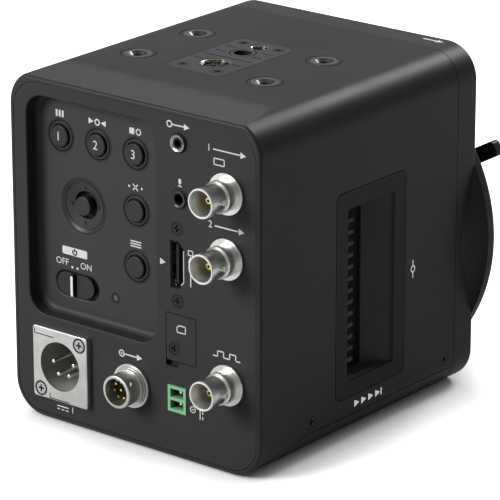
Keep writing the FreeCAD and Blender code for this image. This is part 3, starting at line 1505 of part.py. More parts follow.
def make_chassis(mid_plate):
    wall = S.chassis_wall
    half = S.chassis_half
    floor = block("chassis_floor", (-half, tongue_back, S.chassis_base),
                  (half, S.chassis_back, S.chassis_base + wall))
    bulkhead = block("chassis_bulkhead", (-half, tongue_back, S.chassis_base),
                     (half, tongue_back + wall, S.chassis_top))
    middle = block("chassis_middle", (-half, mid_plate, S.chassis_base),
                   (half, mid_plate + wall, S.chassis_top))
    left = block("chassis_left", (half - wall, tongue_back, S.chassis_base),
                 (half, S.chassis_back, S.chassis_top))
    right = block("chassis_right", (-half, tongue_back, S.chassis_base),
                  (wall - half, S.chassis_back, S.chassis_top))
    throat = rod("chassis_throat", (0, tongue_back - 1, S.lens_height), "+Y", 24, wall + 2)
    cable = block("chassis_cable_slot", (-14, mid_plate - 1, 20), (14, mid_plate + wall + 1, 32))
    intake = block("chassis_intake", (-half - 1, mid_plate + wall + 2, 24),
                   (wall - half + 1, S.chassis_back - 6, 80))
    blow = rod("chassis_blow", (half - wall - 1, S.fan_back, S.fan_up), "+X",
               S.fan_tip - 1.2, wall + 2)
    window = block("chassis_window", (-half - 1, tongue_back + 6, 24),
                   (wall - half + 1, mid_plate - 4, 80))
    frame = join("chassis_blank", [floor, bulkhead, middle, left, right])
    node(cut("chassis", frame, [throat, cable, intake, blow, window]))
    edge = half - wall
    node(block("main_board", (-edge, S.main_board_back - S.board_thick, S.chassis_base + wall),
               (edge, S.main_board_back, S.chassis_top - 2)))


def make_rear_board():
    board = Piece("connector_board")
    outer = half_width - 6
    top = S.recess_top + 1
    low = S.rear_lip + 5.3
    key_edge = S.recess_right + 0.8
    outline = board.sketch("XZ", board_front).polygon([
        (-outer, low), (outer, low), (outer, S.recess_base - 1.2), (key_edge, S.recess_base - 1.2),
        (key_edge, top), (-outer, top)])
    board.pad(outline, S.board_thick, -1)
    hole = board.sketch("XZ", board_front).circle(S.inlet_across, S.inlet_up,
                                                  S.inlet_barrel + 0.3)
    board.pocket(hole, S.board_thick + 1, -1)
    node(board)


def make_heat_sink():
    start = S.main_board_back
    half = S.sink_width / 2
    low, high = S.lens_height - S.sink_tall / 2, S.lens_height + S.sink_tall / 2
    plate = block("sink_plate", (-half, start, low), (half, start + 3, high))
    fins = [plate]
    for i in range(11):
        up = S.lens_height + S.fin_pitch * (i - 5)
        if up.value + S.fin_thick.value / 2 > high.value + 1:
            continue
        fins.append(block("sink_fin_%d" % (i + 1), (-half, start + 2, up - S.fin_thick / 2),
                          (half, start + S.sink_deep, up + S.fin_thick / 2)))
    node(join("heat_sink", fins))


def make_fan():
    outer = S.chassis_half - S.chassis_wall
    inner = outer - S.fan_deep
    half = S.fan_size / 2
    housing = Piece("fan_housing")
    square = housing.sketch("YZ", inner).rounded(
        S.fan_back - half, S.fan_back + half, S.fan_up - half, S.fan_up + half, 2.0)
    square.circle(S.fan_back, S.fan_up, S.fan_tip + 0.5)
    housing.pad(square, S.fan_deep, 1)
    spokes = [housing.body]
    for i, angle in enumerate((90, 210, 330)):
        spoke = doc.addObject("Part::Box", "fan_spoke_%d" % (i + 1))
        spoke.setExpression("Length", size(1.0).text)
        spoke.setExpression("Width", (S.fan_tip + 1.0).text)
        spoke.setExpression("Height", size(2.0).text)
        spoke.Placement = FreeCAD.Placement(V(0, 0, 0), FreeCAD.Rotation(V(1, 0, 0), angle))
        place(spoke, (inner, S.fan_back, S.fan_up))
        spokes.append(spoke)
    spokes.append(rod("fan_cup", (inner, S.fan_back, S.fan_up), "+X", S.fan_hub - 1, 1.2))
    spokes.append(rod("fan_axle", (inner, S.fan_back, S.fan_up), "+X", S.shaft_radius,
                      S.fan_deep - 1.5))
    node(join("fan_frame", spokes))
    start = inner + 1.6
    hub = rod("fan_hub_disc", (start, S.fan_back, S.fan_up), "+X", S.fan_hub,
              S.fan_deep - 2.6)
    blades = [hub]
    for i in range(7):
        blade = doc.addObject("Part::Box", "fan_blade_%d" % (i + 1))
        blade.setExpression("Length", (S.fan_deep - 3.6).text)
        blade.setExpression("Width", (S.fan_tip - S.fan_hub + 1.0).text)
        blade.setExpression("Height", size(0.9).text)
        pitch = FreeCAD.Rotation(V(0, 1, 0), -38)
        spin = FreeCAD.Rotation(V(1, 0, 0), 360.0 / 7 * i)
        blade.Placement = FreeCAD.Placement(V(0, 0, 0), spin * pitch)
        across = math.cos(math.radians(360.0 / 7 * i))
        rise = math.sin(math.radians(360.0 / 7 * i))
        root = S.fan_hub - 1.0
        sweep = -2.0
        place(blade, (start + 0.9, S.fan_back + root * across - sweep * rise,
                      S.fan_up + root * rise + sweep * across))
        blades.append(blade)
    bore = rod("fan_hub_bore", (start - 1, S.fan_back, S.fan_up), "+X",
               S.shaft_radius + S.shaft_gap, S.fan_deep)
    node(cut("fan_rotor", join("fan_rotor_blank", blades), [bore]))


make_main_shell()
make_rear_panel()
make_front()
make_bottom_cover()
make_intake_vent()
make_top_plate()
make_screws()
make_threads()
make_buttons()
make_joystick()
make_power_switch()
make_lamp()
make_key_board()
make_power_inlet()
make_remote_socket()
make_terminal_block()
make_jacks()
make_coax()
make_video_socket()
make_card_door()
make_lens_mount()
make_lock_ring()
make_chassis(make_optics())
make_rear_board()
make_heat_sink()
make_fan()

doc.recompute()
faults = [item.Label for item in doc.Objects if "Invalid" in item.State or "Error" in item.State]
for item in nodes:
    if item.Shape.isNull() or not item.Shape.isValid() or not item.Shape.Solids:
        faults.append(item.Label + " has no sound solid")
if faults:
    raise RuntimeError("; ".join(faults))
for item in nodes:
    item.Shape.exportStep("parts/%s.step" % item.Label)
    print("%-20s %2d solid(s) %9.1f mm3" % (item.Label, len(item.Shape.Solids), item.Shape.Volume))
print(len(nodes), "nodes")
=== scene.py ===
import math

import bpy
from mathutils import Matrix, Vector


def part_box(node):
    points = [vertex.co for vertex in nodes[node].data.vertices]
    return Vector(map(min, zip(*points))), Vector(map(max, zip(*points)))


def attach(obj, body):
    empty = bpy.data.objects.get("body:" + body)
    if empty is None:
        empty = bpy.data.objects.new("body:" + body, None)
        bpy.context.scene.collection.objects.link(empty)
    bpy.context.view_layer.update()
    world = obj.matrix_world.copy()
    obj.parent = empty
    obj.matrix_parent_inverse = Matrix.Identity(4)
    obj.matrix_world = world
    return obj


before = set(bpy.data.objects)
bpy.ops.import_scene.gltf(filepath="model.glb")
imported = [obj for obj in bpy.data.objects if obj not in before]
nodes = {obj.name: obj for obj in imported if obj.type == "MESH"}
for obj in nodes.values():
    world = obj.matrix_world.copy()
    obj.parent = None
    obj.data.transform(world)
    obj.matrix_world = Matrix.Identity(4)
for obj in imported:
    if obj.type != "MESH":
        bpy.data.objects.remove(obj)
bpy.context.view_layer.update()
MM = 0.001

# Places on the camera, in millimetres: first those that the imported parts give

def low(node):
    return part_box(node)[0] / MM


def high(node):
    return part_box(node)[1] / MM


def middle(node):
    return (low(node) + high(node)) / 2


REAR = 52.5                                     # face of the connector panel
FLOOR = 46.9                                    # floor of the control recess
TOP = 116.0                                     # level top face
COAX_ACROSS = -38.0
COAX_HEIGHTS = (29.7, 71.0, 92.0)
VIDEO_SCREW = 11.9                              # from the video socket's middle to a screw
INLET_CUP = (29.8, 41.0, 19.9)                  # middle of the cup's floor
INLET_SCREWS = ((38.1, 10.75), (21.5, 29.05))   # across and up
THREADS = (("large", 7.7, 5.05), ("small", -14.5, 3.15))  # name, place along Y and radius
THREAD_ACROSS = 3.0


# Finishes

SHEEN = 0.17                                    # specular level of the sprayed paint
# How much lighter the level top is painted than the sides: painted light, not a second paint.
TOP_PAINTED_LIGHT = 2.85                              # base colour of the dull top over the sides


def new_material(name):
    material = bpy.data.materials.new(name)
    material.use_nodes = True
    tree = material.node_tree
    shader = tree.nodes["Principled BSDF"]
    place = tree.nodes.new("ShaderNodeTexCoord")
    return material, tree, shader, place


def add_noise(tree, place, scale, detail=3.0, rough=0.55, stretch=None):
    noise = tree.nodes.new("ShaderNodeTexNoise")
    noise.inputs["Scale"].default_value = scale
    noise.inputs["Detail"].default_value = detail
    noise.inputs["Roughness"].default_value = rough
    source = place.outputs["Object"]
    if stretch:
        mapping = tree.nodes.new("ShaderNodeMapping")
        mapping.inputs["Scale"].default_value = stretch
        tree.links.new(source, mapping.inputs["Vector"])
        source = mapping.outputs["Vector"]
    tree.links.new(source, noise.inputs["Vector"])
    return noise


def add_ramp(tree, source, stops):
    ramp = tree.nodes.new("ShaderNodeValToRGB")
    while len(ramp.color_ramp.elements) < len(stops):
        ramp.color_ramp.elements.new(0.5)
    for element, (spot, colour) in zip(ramp.color_ramp.elements, stops):
        element.position = spot
        shade = colour if isinstance(colour, tuple) else (colour,) * 3
        element.color = (*shade, 1.0)
    tree.links.new(source, ramp.inputs["Fac"])
    return ramp.outputs["Color"]


def add_bump(tree, shader, height, strength, depth):
    bump = tree.nodes.new("ShaderNodeBump")
    bump.inputs["Strength"].default_value = strength
    bump.inputs["Distance"].default_value = depth
    tree.links.new(height, bump.inputs["Height"])
    tree.links.new(bump.outputs["Normal"], shader.inputs["Normal"])
    return bump


def shades(colour, spread):
    dark = tuple(c * (1 - spread) for c in colour)
    pale = tuple(min(1.0, c * (1 + spread)) for c in colour)
    return dark, pale


def satin_paint(name, colour, roughness=0.42, grain=1400.0, strength=0.35, spread=0.08):
    """Sprayed satin paint: a fine orange-peel grain and slow changes of sheen."""
    material, tree, shader, place = new_material(name)
    slow = add_noise(tree, place, 22.0, 2.0)
    dark, pale = shades(colour, spread)
    tree.links.new(add_ramp(tree, slow.outputs["Fac"], [(0.3, dark), (0.7, pale)]),
                   shader.inputs["Base Color"])
    tree.links.new(add_ramp(tree, slow.outputs["Fac"],
                            [(0.25, roughness - 0.04), (0.75, roughness + 0.05)]),
                   shader.inputs["Roughness"])
    fine = add_noise(tree, place, grain, 2.0, 0.6)
    add_bump(tree, shader, fine.outputs["Fac"], strength, 0.00006)
    shader.inputs["Specular IOR Level"].default_value = SHEEN
    return material


def moulded_plastic(name, colour, roughness=0.5, grain=2600.0, strength=0.3):
    """Spark-eroded moulding: even, fine and slightly matt."""
    material, tree, shader, place = new_material(name)
    dark, pale = shades(colour, 0.06)
    slow = add_noise(tree, place, 60.0, 3.0)
    tree.links.new(add_ramp(tree, slow.outputs["Fac"], [(0.35, dark), (0.65, pale)]),
                   shader.inputs["Base Color"])
    fine = add_noise(tree, place, grain, 1.0)
    tree.links.new(add_ramp(tree, fine.outputs["Fac"],
                            [(0.3, roughness - 0.05), (0.7, roughness + 0.06)]),
                   shader.inputs["Roughness"])
    add_bump(tree, shader, fine.outputs["Fac"], strength, 0.00004)
    shader.inputs["Specular IOR Level"].default_value = 0.2
    return material


def bright_metal(name, colour, roughness=0.22, stretch=(900.0, 40.0, 900.0), strength=0.12):
    """Turned or brushed metal: hair-thin tool marks and faint stains."""
    material, tree, shader, place = new_material(name)
    shader.inputs["Metallic"].default_value = 1.0
    stain = add_noise(tree, place, 140.0, 4.0)
    dark, pale = shades(colour, 0.1)
    tree.links.new(add_ramp(tree, stain.outputs["Fac"], [(0.3, dark), (0.75, pale)]),
                   shader.inputs["Base Color"])
    marks = add_noise(tree, place, 1.0, 2.0, 0.5, stretch)
    tree.links.new(add_ramp(tree, marks.outputs["Fac"],
                            [(0.3, roughness - 0.05), (0.7, roughness + 0.07)]),
                   shader.inputs["Roughness"])
    add_bump(tree, shader, marks.outputs["Fac"], strength, 0.00003)
    return material


def shade_by_height(material, axis, level, below, above, blur=0.1):
    """Lets a material's colour change from one shade to another across a level, in millimetres."""
    tree = material.node_tree
    shader = tree.nodes["Principled BSDF"]
    place = tree.nodes["Texture Coordinate"]
    split = tree.nodes.new("ShaderNodeSeparateXYZ")
    tree.links.new(place.outputs["Object"], split.inputs["Vector"])
    step = tree.nodes.new("ShaderNodeMapRange")
    step.inputs["From Min"].default_value = (level - blur) * MM
    step.inputs["From Max"].default_value = (level + blur) * MM
    tree.links.new(split.outputs[axis], step.inputs["Value"])
    mix = tree.nodes.new("ShaderNodeMix")
    mix.data_type = "RGBA"
    mix.blend_type = "MULTIPLY"
    mix.inputs["Factor"].default_value = 1.0
    tone = add_ramp(tree, step.outputs["Result"], [(0.0, below), (1.0, above)])
    colour = shader.inputs["Base Color"].links[0].from_socket
    tree.links.new(colour, mix.inputs["A"])
    tree.links.new(tone, mix.inputs["B"])
    tree.links.new(mix.outputs["Result"], shader.inputs["Base Color"])
    return material


def dull_top_painted_light(material, lighter):
    """Takes the sheen off the level top face and paints the top lighter than the sides, a painted
    light on the top face.
    """
    shade_by_height(material, "Z", TOP - 0.4, 1.0 / lighter, 1.0, 0.35)
    tree = material.node_tree
    split = tree.nodes.new("ShaderNodeSeparateXYZ")
    tree.links.new(tree.nodes["Texture Coordinate"].outputs["Object"], split.inputs["Vector"])
    sheen = tree.nodes.new("ShaderNodeMapRange")
    sheen.inputs["From Min"].default_value = (TOP - 0.75) * MM
    sheen.inputs["From Max"].default_value = (TOP - 0.05) * MM
    sheen.inputs["To Min"].default_value = SHEEN
    sheen.inputs["To Max"].default_value = 0.0
    tree.links.new(split.outputs["Z"], sheen.inputs["Value"])
    tree.links.new(sheen.outputs["Result"],
                   tree.nodes["Principled BSDF"].inputs["Specular IOR Level"])
    return material


def clear_glass(name, colour, alpha):
    material, tree, shader, place = new_material(name)
    haze = add_noise(tree, place, 90.0)
    dark, pale = shades(colour, 0.04)
    tree.links.new(add_ramp(tree, haze.outputs["Fac"], [(0.4, dark), (0.6, pale)]),
                   shader.inputs["Base Color"])
    shader.inputs["Roughness"].default_value = 0.04
    shader.inputs["Alpha"].default_value = alpha
    shader.inputs["IOR"].default_value = 1.5
    return material


def board_lacquer(name):
    """Green solder lacquer with faint copper tracks under it."""
    material, tree, shader, place = new_material(name)
    tracks = tree.nodes.new("ShaderNodeTexBrick")
    tracks.inputs["Scale"].default_value = 180.0
    tracks.inputs["Mortar Size"].default_value = 0.06
    tracks.inputs["Color1"].default_value = (0.02, 0.16, 0.08, 1)
    tracks.inputs["Color2"].default_value = (0.015, 0.13, 0.07, 1)
    tracks.inputs["Mortar"].default_value = (0.05, 0.27, 0.13, 1)
    turn = tree.nodes.new("ShaderNodeMapping")
    turn.inputs["Rotation"].default_value = (math.pi / 2, 0, 0)
    tree.links.new(place.outputs["Object"], turn.inputs["Vector"])
    tree.links.new(turn.outputs["Vector"], tracks.inputs["Vector"])
    tree.links.new(tracks.outputs["Color"], shader.inputs["Base Color"])
    shader.inputs["Roughness"].default_value = 0.3
    add_bump(tree, shader, tracks.outputs["Fac"], 0.2, 0.00003)
    return material


PAINT = (0.027, 0.027, 0.0275)
# The casing and the front casting are painted lighter on their level top than on their sides:
# painted light.
casing_paint = satin_paint("casing paint", tuple(c * TOP_PAINTED_LIGHT for c in PAINT))
dull_top_painted_light(casing_paint, TOP_PAINTED_LIGHT)
# Connector panel: painted light and shade, the floor of the control recess painted lighter than
# the outer face though both are one paint; the card door shares it.
panel_paint = satin_paint("panel paint", (0.038, 0.038, 0.039), 0.46)
shade_by_height(panel_paint, "Y", FLOOR + 2.5, 1.0, 0.72, 2.0)
front_paint = satin_paint("front casting paint", (0.0912, 0.0912, 0.0941), 0.44)
dull_top_painted_light(front_paint, TOP_PAINTED_LIGHT)
# Accessory plate: painted lighter for its lit level top, like the casing's top, and nearly black
# below its face, a painted shade in its grooves, screw holes and thread holes.
plate_paint = satin_paint("accessory plate paint", (0.1026, 0.1026, 0.1055), 0.48, 1900.0)
plate_shader = plate_paint.node_tree.nodes["Principled BSDF"]
plate_shader.inputs["Specular IOR Level"].default_value = 0.0
shade_by_height(plate_paint, "Z", 115.85, 0.2, 1.0, 0.05)
ring_paint = satin_paint("lock ring paint", (0.022, 0.022, 0.023), 0.4, 2000.0)
# Vent: painted light and shade on one moulding, the outer frame painted nearly black and the inner
# ramp lighter.
vent_moulding = moulded_plastic("vent moulding", (0.08, 0.08, 0.081), 0.55)
shade_by_height(vent_moulding, "X", -50.2, 0.075, 1.0, 0.4)
key_plastic = moulded_plastic("key plastic", (0.026, 0.026, 0.027), 0.4)
stick_plastic = moulded_plastic("stick plastic", (0.03, 0.03, 0.031), 0.36)
inner_plastic = moulded_plastic("inner plastic", (0.02, 0.02, 0.021), 0.6)
gloss_plastic = moulded_plastic("gloss plastic", (0.05, 0.05, 0.051), 0.16, 1800.0, 0.1)
socket_plastic = moulded_plastic("socket plastic", (0.012, 0.012, 0.013), 0.5)
white_plastic = moulded_plastic("white insulator", (0.72, 0.70, 0.64), 0.35)
green_plastic = moulded_plastic("terminal green", (0.24, 0.52, 0.29), 0.38)
# Painted shade: the terminal block darker deeper in, below Y 51.4.
shade_by_height(green_plastic, "Y", 51.4, 0.18, 1.0, 1.4)
dark_screw = moulded_plastic("blackened screw", (0.016, 0.016, 0.017), 0.3, 1800.0, 0.15)
# Case screws: black below Y 54.42 and pale above. The side screws are black; on the inlet screws
# the black cross recesses are a painted shade.
case_screw = moulded_plastic("case screw", (0.5, 0.5, 0.5), 0.3, 1800.0, 0.15)
shade_by_height(case_screw, "Y", 54.42, 0.035, 0.9, 0.03)
bright_thread = bright_metal("bright thread", (0.62, 0.61, 0.57), 0.2)
insert_metal = bright_metal("insert metal", (0.12, 0.12, 0.115), 0.34)
nickel = bright_metal("nickel", (0.68, 0.675, 0.645), 0.31, (500.0, 120.0, 500.0), 0.03)
satin_nickel = bright_metal("satin nickel", (0.60, 0.597, 0.575), 0.4, (500.0, 500.0, 500.0), 0.08)
jack_metal = bright_metal("jack metal", (0.34, 0.335, 0.32), 0.26)
# A pale non-metal paint on the mouths of the coax sockets: a painted highlight on their nickel
# rims.
rim_highlight_paint = satin_paint("painted rim highlight", (0.80, 0.80, 0.77), 0.3, 600.0, 0.15)
inlet_metal = bright_metal("satin inlet metal", (0.56, 0.56, 0.54), 0.42,
                           (600.0, 600.0, 600.0), 0.3)
# Painted shade: the inlet's metal darker inside its cup, below Y 53.8.
shade_by_height(inlet_metal, "Y", 53.8, 0.8, 1.0, 0.3)
inlet_floor = satin_paint("inlet cup grey", (0.3, 0.3, 0.285), 0.5)
gold = bright_metal("gold contact", (0.86, 0.62, 0.22), 0.16)
pin_metal = bright_metal("tinned pin", (0.74, 0.74, 0.72), 0.16)
mount_metal = bright_metal("lens mount metal", (0.70, 0.70, 0.69), 0.24)
sheet_steel = bright_metal("sheet steel", (0.55, 0.56, 0.57), 0.32)
port_steel = bright_metal("port steel", (0.60, 0.60, 0.58), 0.25)
# Painted shade: the video socket's shell nearly black on its outer end, above Y 51.6, round the
# socket.
shade_by_height(port_steel, "Y", 51.6, 1.0, 0.03, 0.15)
sink_metal = bright_metal("heat sink metal", (0.52, 0.53, 0.55), 0.4)
wheel_metal = satin_paint("filter wheel coat", (0.02, 0.02, 0.021), 0.5)
sensor_face = clear_glass("sensor window", (0.05, 0.10, 0.11), 1.0)
filter_glass = clear_glass("filter glass", (0.55, 0.66, 0.70), 0.35)
lamp_lens = clear_glass("lamp lens", (0.065, 0.07, 0.065), 1.0)
board_green = board_lacquer("circuit board")
ink = moulded_plastic("white ink", (0.66, 0.66, 0.66), 0.55)
bright_ink = moulded_plastic("bright ink", (0.85, 0.85, 0.85), 0.5)
# White print on the side, which also glows: a painted light that lifts the print out of the side's
# shade.
glowing_side_ink = moulded_plastic("glowing side ink", (0.92, 0.92, 0.92), 0.55)
side_ink_shader = glowing_side_ink.node_tree.nodes["Principled BSDF"]
side_ink_shader.inputs["Emission Color"].default_value = (1, 1, 1, 1)
side_ink_shader.inputs["Emission Strength"].default_value = 0.4
# Dark ink: print on the keys and signs, and also the dark rings, lines and patches laid where gaps
# and hollows are in shade, a painted shade.
dark_ink_and_painted_shade = moulded_plastic("dark ink and painted shade", (0.012, 0.012, 0.012), 0.5)
gauze = moulded_plastic("dust gauze", (0.004, 0.004, 0.004), 0.8, 5200.0, 0.8)

FINISHES = {
    "main_shell": casing_paint, "rear_panel": panel_paint, "front_panel": front_paint,
    "bottom_cover": casing_paint, "intake_vent": vent_moulding, "top_plate": plate_paint,
    "plate_screws": dark_screw, "case_screws": case_screw, "thread_inserts": insert_metal,
    "top_threads": bright_thread, "base_threads": bright_thread, "button_1": key_plastic,
    "button_2": key_plastic, "button_3": key_plastic, "button_cancel": key_plastic,
    "button_menu": key_plastic, "joystick_ring": stick_plastic, "joystick_base": inner_plastic,
    "joystick_plunger": inner_plastic, "joystick_yoke": inner_plastic,
    "joystick_cap": stick_plastic, "power_slider": key_plastic, "power_switch": inner_plastic,
    "status_lamp": lamp_lens, "key_board": board_green, "key_switches": inner_plastic,
    "inlet_shell": inlet_metal, "inlet_insulator": inlet_floor, "inlet_pins": pin_metal,
    "remote_shell": satin_nickel, "remote_insulator": socket_plastic, "remote_pins": gold,
    "terminal_block": green_plastic, "terminal_pins": pin_metal, "remote_jack": socket_plastic,
    "microphone_jack": socket_plastic, "coax_shells": nickel, "coax_insulators": white_plastic,
    "coax_contacts": gold, "video_socket": port_steel, "video_tongue": socket_plastic,
    "card_door": panel_paint, "card_door_screw": dark_screw, "card_hinge_pin": sheet_steel,
    "card_socket": inner_plastic, "lens_mount": mount_metal, "mount_screws": pin_metal,
    "mount_contacts": inner_plastic, "lock_ring": ring_paint, "image_sensor": sensor_face,
    "sensor_board": board_green, "filter_wheel": wheel_metal, "filter_glasses": filter_glass,
    "filter_motor": sheet_steel, "chassis": sheet_steel, "main_board": board_green,
    "connector_board": board_green, "heat_sink": sink_metal, "fan_frame": inner_plastic,
    "fan_rotor": inner_plastic,
}
for name, finish in FINISHES.items():
    for piece_slot in nodes[name].material_slots:
        piece_slot.material = finish


# Modelling

def clear_selection():
    if bpy.context.object and bpy.context.object.mode != "OBJECT":
        bpy.ops.object.mode_set(mode="OBJECT")
    bpy.ops.object.select_all(action="DESELECT")


def finish_piece(piece, name, material, body="camera"):
    """Applies the piece's place, names it, gives it its finish and lets it ride."""
    clear_selection()
    piece.select_set(True)
    bpy.context.view_layer.objects.active = piece
    bpy.ops.object.transform_apply(location=True, rotation=True, scale=True)
    piece.name = name
    piece.data.name = name
    piece.data.materials.clear()
    piece.data.materials.append(material)
    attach(piece, body)
    return piece


def join_pieces(pieces):
    clear_selection()
    for piece in pieces:
        piece.select_set(True)
    bpy.context.view_layer.objects.active = pieces[0]
    bpy.ops.object.join()
    return bpy.context.object


FACING_REAR = (math.pi / 2, 0, math.pi)
FACING_SIDE = (math.pi / 2, 0, -math.pi / 2)
FACING_UP = (0, 0, math.pi)
INK_THICK = 0.05
STROKE = 0.42


def outline(corners):
    """A flat face from its corners in order, seen from above, in millimetres."""
    clear_selection()
    bpy.ops.mesh.primitive_circle_add(vertices=len(corners), radius=MM, fill_type="NGON")
    piece = bpy.context.object
    for vertex, (across, up) in zip(piece.data.vertices, corners):
        vertex.co = (across * MM, up * MM, 0)
    return piece


def flat_shape(corners, thick=INK_THICK):
    """A thin flat piece with the given outline."""
    piece = outline(corners)
    thicken(thick)
    return piece


def thicken(thick):
    """Gives the flat piece that is being modelled its thickness and closes it."""
    bpy.ops.object.mode_set(mode="EDIT")
    bpy.ops.mesh.select_all(action="SELECT")
    bpy.ops.mesh.extrude_region_move(TRANSFORM_OT_translate={"value": (0, 0, thick * MM)})
    bpy.ops.mesh.select_all(action="SELECT")
    bpy.ops.mesh.normals_make_consistent(inside=False)
    bpy.ops.object.mode_set(mode="OBJECT")


def hollow(line):
    """Cuts the middle out of the flat piece, leaves a line round it and thickens that."""
    bpy.ops.object.mode_set(mode="EDIT")
    bpy.ops.mesh.select_all(action="SELECT")
    bpy.ops.mesh.inset(thickness=line * MM)
    bpy.ops.mesh.delete(type="FACE")
    bpy.ops.object.mode_set(mode="OBJECT")
    thicken(INK_THICK)


def stroke(start, end, width=STROKE):
    """A printed line from one point to another."""
    run = Vector(end) - Vector(start)
    side = Vector((-run.y, run.x)).normalized() * width / 2
    return flat_shape([Vector(start) - side, Vector(end) - side, Vector(end) + side,
                       Vector(start) + side])


def polyline(points, width=STROKE):
    return [stroke(a, b, width) for a, b in zip(points, points[1:])]


def disc(across, up, radius, count=20):
    return flat_shape([(across + radius * math.cos(math.tau * i / count),
                        up + radius * math.sin(math.tau * i / count)) for i in range(count)])


def ring(across, up, radius, width=STROKE, count=28):
    """A printed ring, from a disc with an inset hole."""
    clear_selection()
    bpy.ops.mesh.primitive_circle_add(vertices=count, radius=(radius + width / 2) * MM,
                                      fill_type="NGON", location=(across * MM, up * MM, 0))
    piece = bpy.context.object
    bpy.ops.object.transform_apply(location=True)
    hollow(width)
    return piece


def loop_shape(width, height, radius, line):
    """A printed line just inside the edge of a rounded box that is centred on the origin."""
    piece = outline(rounded_corners(0, 0, width, height, radius, 6))
    hollow(line)
    return piece


def arrow_head(across, up, size, turn=0.0):
    """A solid triangle that points along its turn, in degrees from the right."""
    spots = [(size * 0.6, 0), (-size * 0.5, size * 0.52), (-size * 0.5, -size * 0.52)]
    c, s = math.cos(math.radians(turn)), math.sin(math.radians(turn))
    return flat_shape([(across + x * c - y * s, up + x * s + y * c) for x, y in spots])


def rounded_corners(across, up, width, height, radius, steps):
    corners = []
    for quarter, (right, top) in enumerate([(1, 1), (-1, 1), (-1, -1), (1, -1)]):
        for i in range(steps + 1):
            angle = math.pi / 2 * (quarter + i / steps)
            corners.append((across + right * (width / 2 - radius) + radius * math.cos(angle),
                            up + top * (height / 2 - radius) + radius * math.sin(angle)))
    return corners


def rounded_box(across, up, width, height, radius=0.5, steps=4, thick=INK_THICK):
    return flat_shape(rounded_corners(across, up, width, height, radius, steps), thick)


def glyphs(text, across, up, size):
    """Printed numbers or the words of a switch, centred on a point."""
    clear_selection()
    bpy.ops.object.text_add(location=(0, 0, 0))
    words = bpy.context.object
    words.data.body = text
    words.data.size = size * MM
    words.data.align_x = "CENTER"
    words.data.align_y = "CENTER"
    words.data.extrude = INK_THICK / 2 * MM
    bpy.ops.object.convert(target="MESH")
    words = bpy.context.object
    words.location = (across * MM, up * MM, INK_THICK / 2 * MM)
    bpy.ops.object.transform_apply(location=True)
    return words


def print_on(name, shapes, spot, turn, material=ink, body="camera"):
    """Joins printed shapes and lays them on a face of the camera."""
    piece = join_pieces(shapes)
    piece.rotation_euler = turn
    piece.location = Vector(spot) * MM
    return finish_piece(piece, name, material, body)


def lathe(name, profile, spot, turn, material, body="camera", sides=48):
    """A turned piece with a closed profile of (radius, height) points."""
    clear_selection()
    first, lift = profile[0]
    bpy.ops.mesh.primitive_circle_add(vertices=sides, radius=first * MM, fill_type="NOTHING",
                                      location=(0, 0, lift * MM))
    piece = bpy.context.object
    bpy.ops.object.transform_apply(location=True)
    bpy.ops.object.mode_set(mode="EDIT")
    bpy.ops.mesh.select_all(action="SELECT")
    radius, height = first, lift
    for wide, tall in profile[1:] + profile[:1]:
        bpy.ops.mesh.extrude_edges_move(
            TRANSFORM_OT_translate={"value": (0, 0, (tall - height) * MM)})
        bpy.ops.transform.resize(value=(wide / radius, wide / radius, 1))
        radius, height = wide, tall
    bpy.ops.mesh.select_all(action="SELECT")
    bpy.ops.mesh.remove_doubles(threshold=0.001 * MM)
    bpy.ops.mesh.normals_make_consistent(inside=False)
    bpy.ops.object.mode_set(mode="OBJECT")
    bpy.ops.object.shade_smooth_by_angle(angle=math.radians(35))
    piece.rotation_euler = turn
    piece.location = Vector(spot) * MM
    return finish_piece(piece, name, material, body)


# Printed marks: numbers on the keys, ON and OFF by the slide switch, plain signs elsewhere

def print_keys():
    for node, digit in (("button_1", "1"), ("button_2", "2"), ("button_3", "3")):
        spot = middle(node)
        print_on("digit_" + digit, [glyphs(digit, -0.3, -0.2, 4.2)],
                 (spot.x, high(node).y, spot.z), FACING_REAR, body=node + "_body")
    bars = [stroke((1.3 * i, -1.1), (1.3 * i, 1.1), 0.75) for i in (-1, 0, 1)]
    print_on("sign_bars", bars, (34.6, FLOOR, 102.4), FACING_REAR)
    balance = [ring(0, 0, 0.9), arrow_head(-2.6, 0, 1.9), arrow_head(2.6, 0, 1.9, 180)]
    print_on("sign_balance", balance, (18.9, FLOOR, 102.4), FACING_REAR)
    black = [rounded_box(-1.3, 0, 2.0, 2.0, 0.2), ring(1.4, 0, 0.9)]
    print_on("sign_black", black, (3.3, FLOOR, 102.4), FACING_REAR)
    cross = [stroke((-1, -1), (1, 1)), stroke((-1, 1), (1, -1)), disc(-2.6, 0, 0.4),
             disc(2.6, 0, 0.4)]
    print_on("sign_cross", cross, (3.4, FLOOR, 84.1), FACING_REAR)
    lines = [stroke((-2.2, 0.85 * i), (2.2, 0.85 * i)) for i in (-1, 0, 1)]
    print_on("sign_lines", lines, (3.5, FLOOR, 65.3), FACING_REAR)


def print_switch():
    print_on("switch_words", [glyphs("OFF", -5.3, 0, 3.1), glyphs("ON", 4.8, 0, 3.1),
                              disc(-1.1, -1.2, 0.42), disc(1.1, -1.2, 0.42)],
             (29.3, FLOOR, 52.9), FACING_REAR)
    print_on("power_field", [rounded_box(0, 0, 10.5, 2.7)], (29.25, FLOOR, 57.0), FACING_REAR)
    arc = [(0.85 * math.sin(math.radians(a)), 0.85 * math.cos(math.radians(a)) - 0.1)
           for a in range(35, 326, 29)]
    power = polyline(arc, 0.48) + [stroke((0, 0.1), (0, 1.15), 0.48)]
    print_on("power_sign", power, (29.25, FLOOR + INK_THICK, 57.0), FACING_REAR, dark_ink_and_painted_shade)


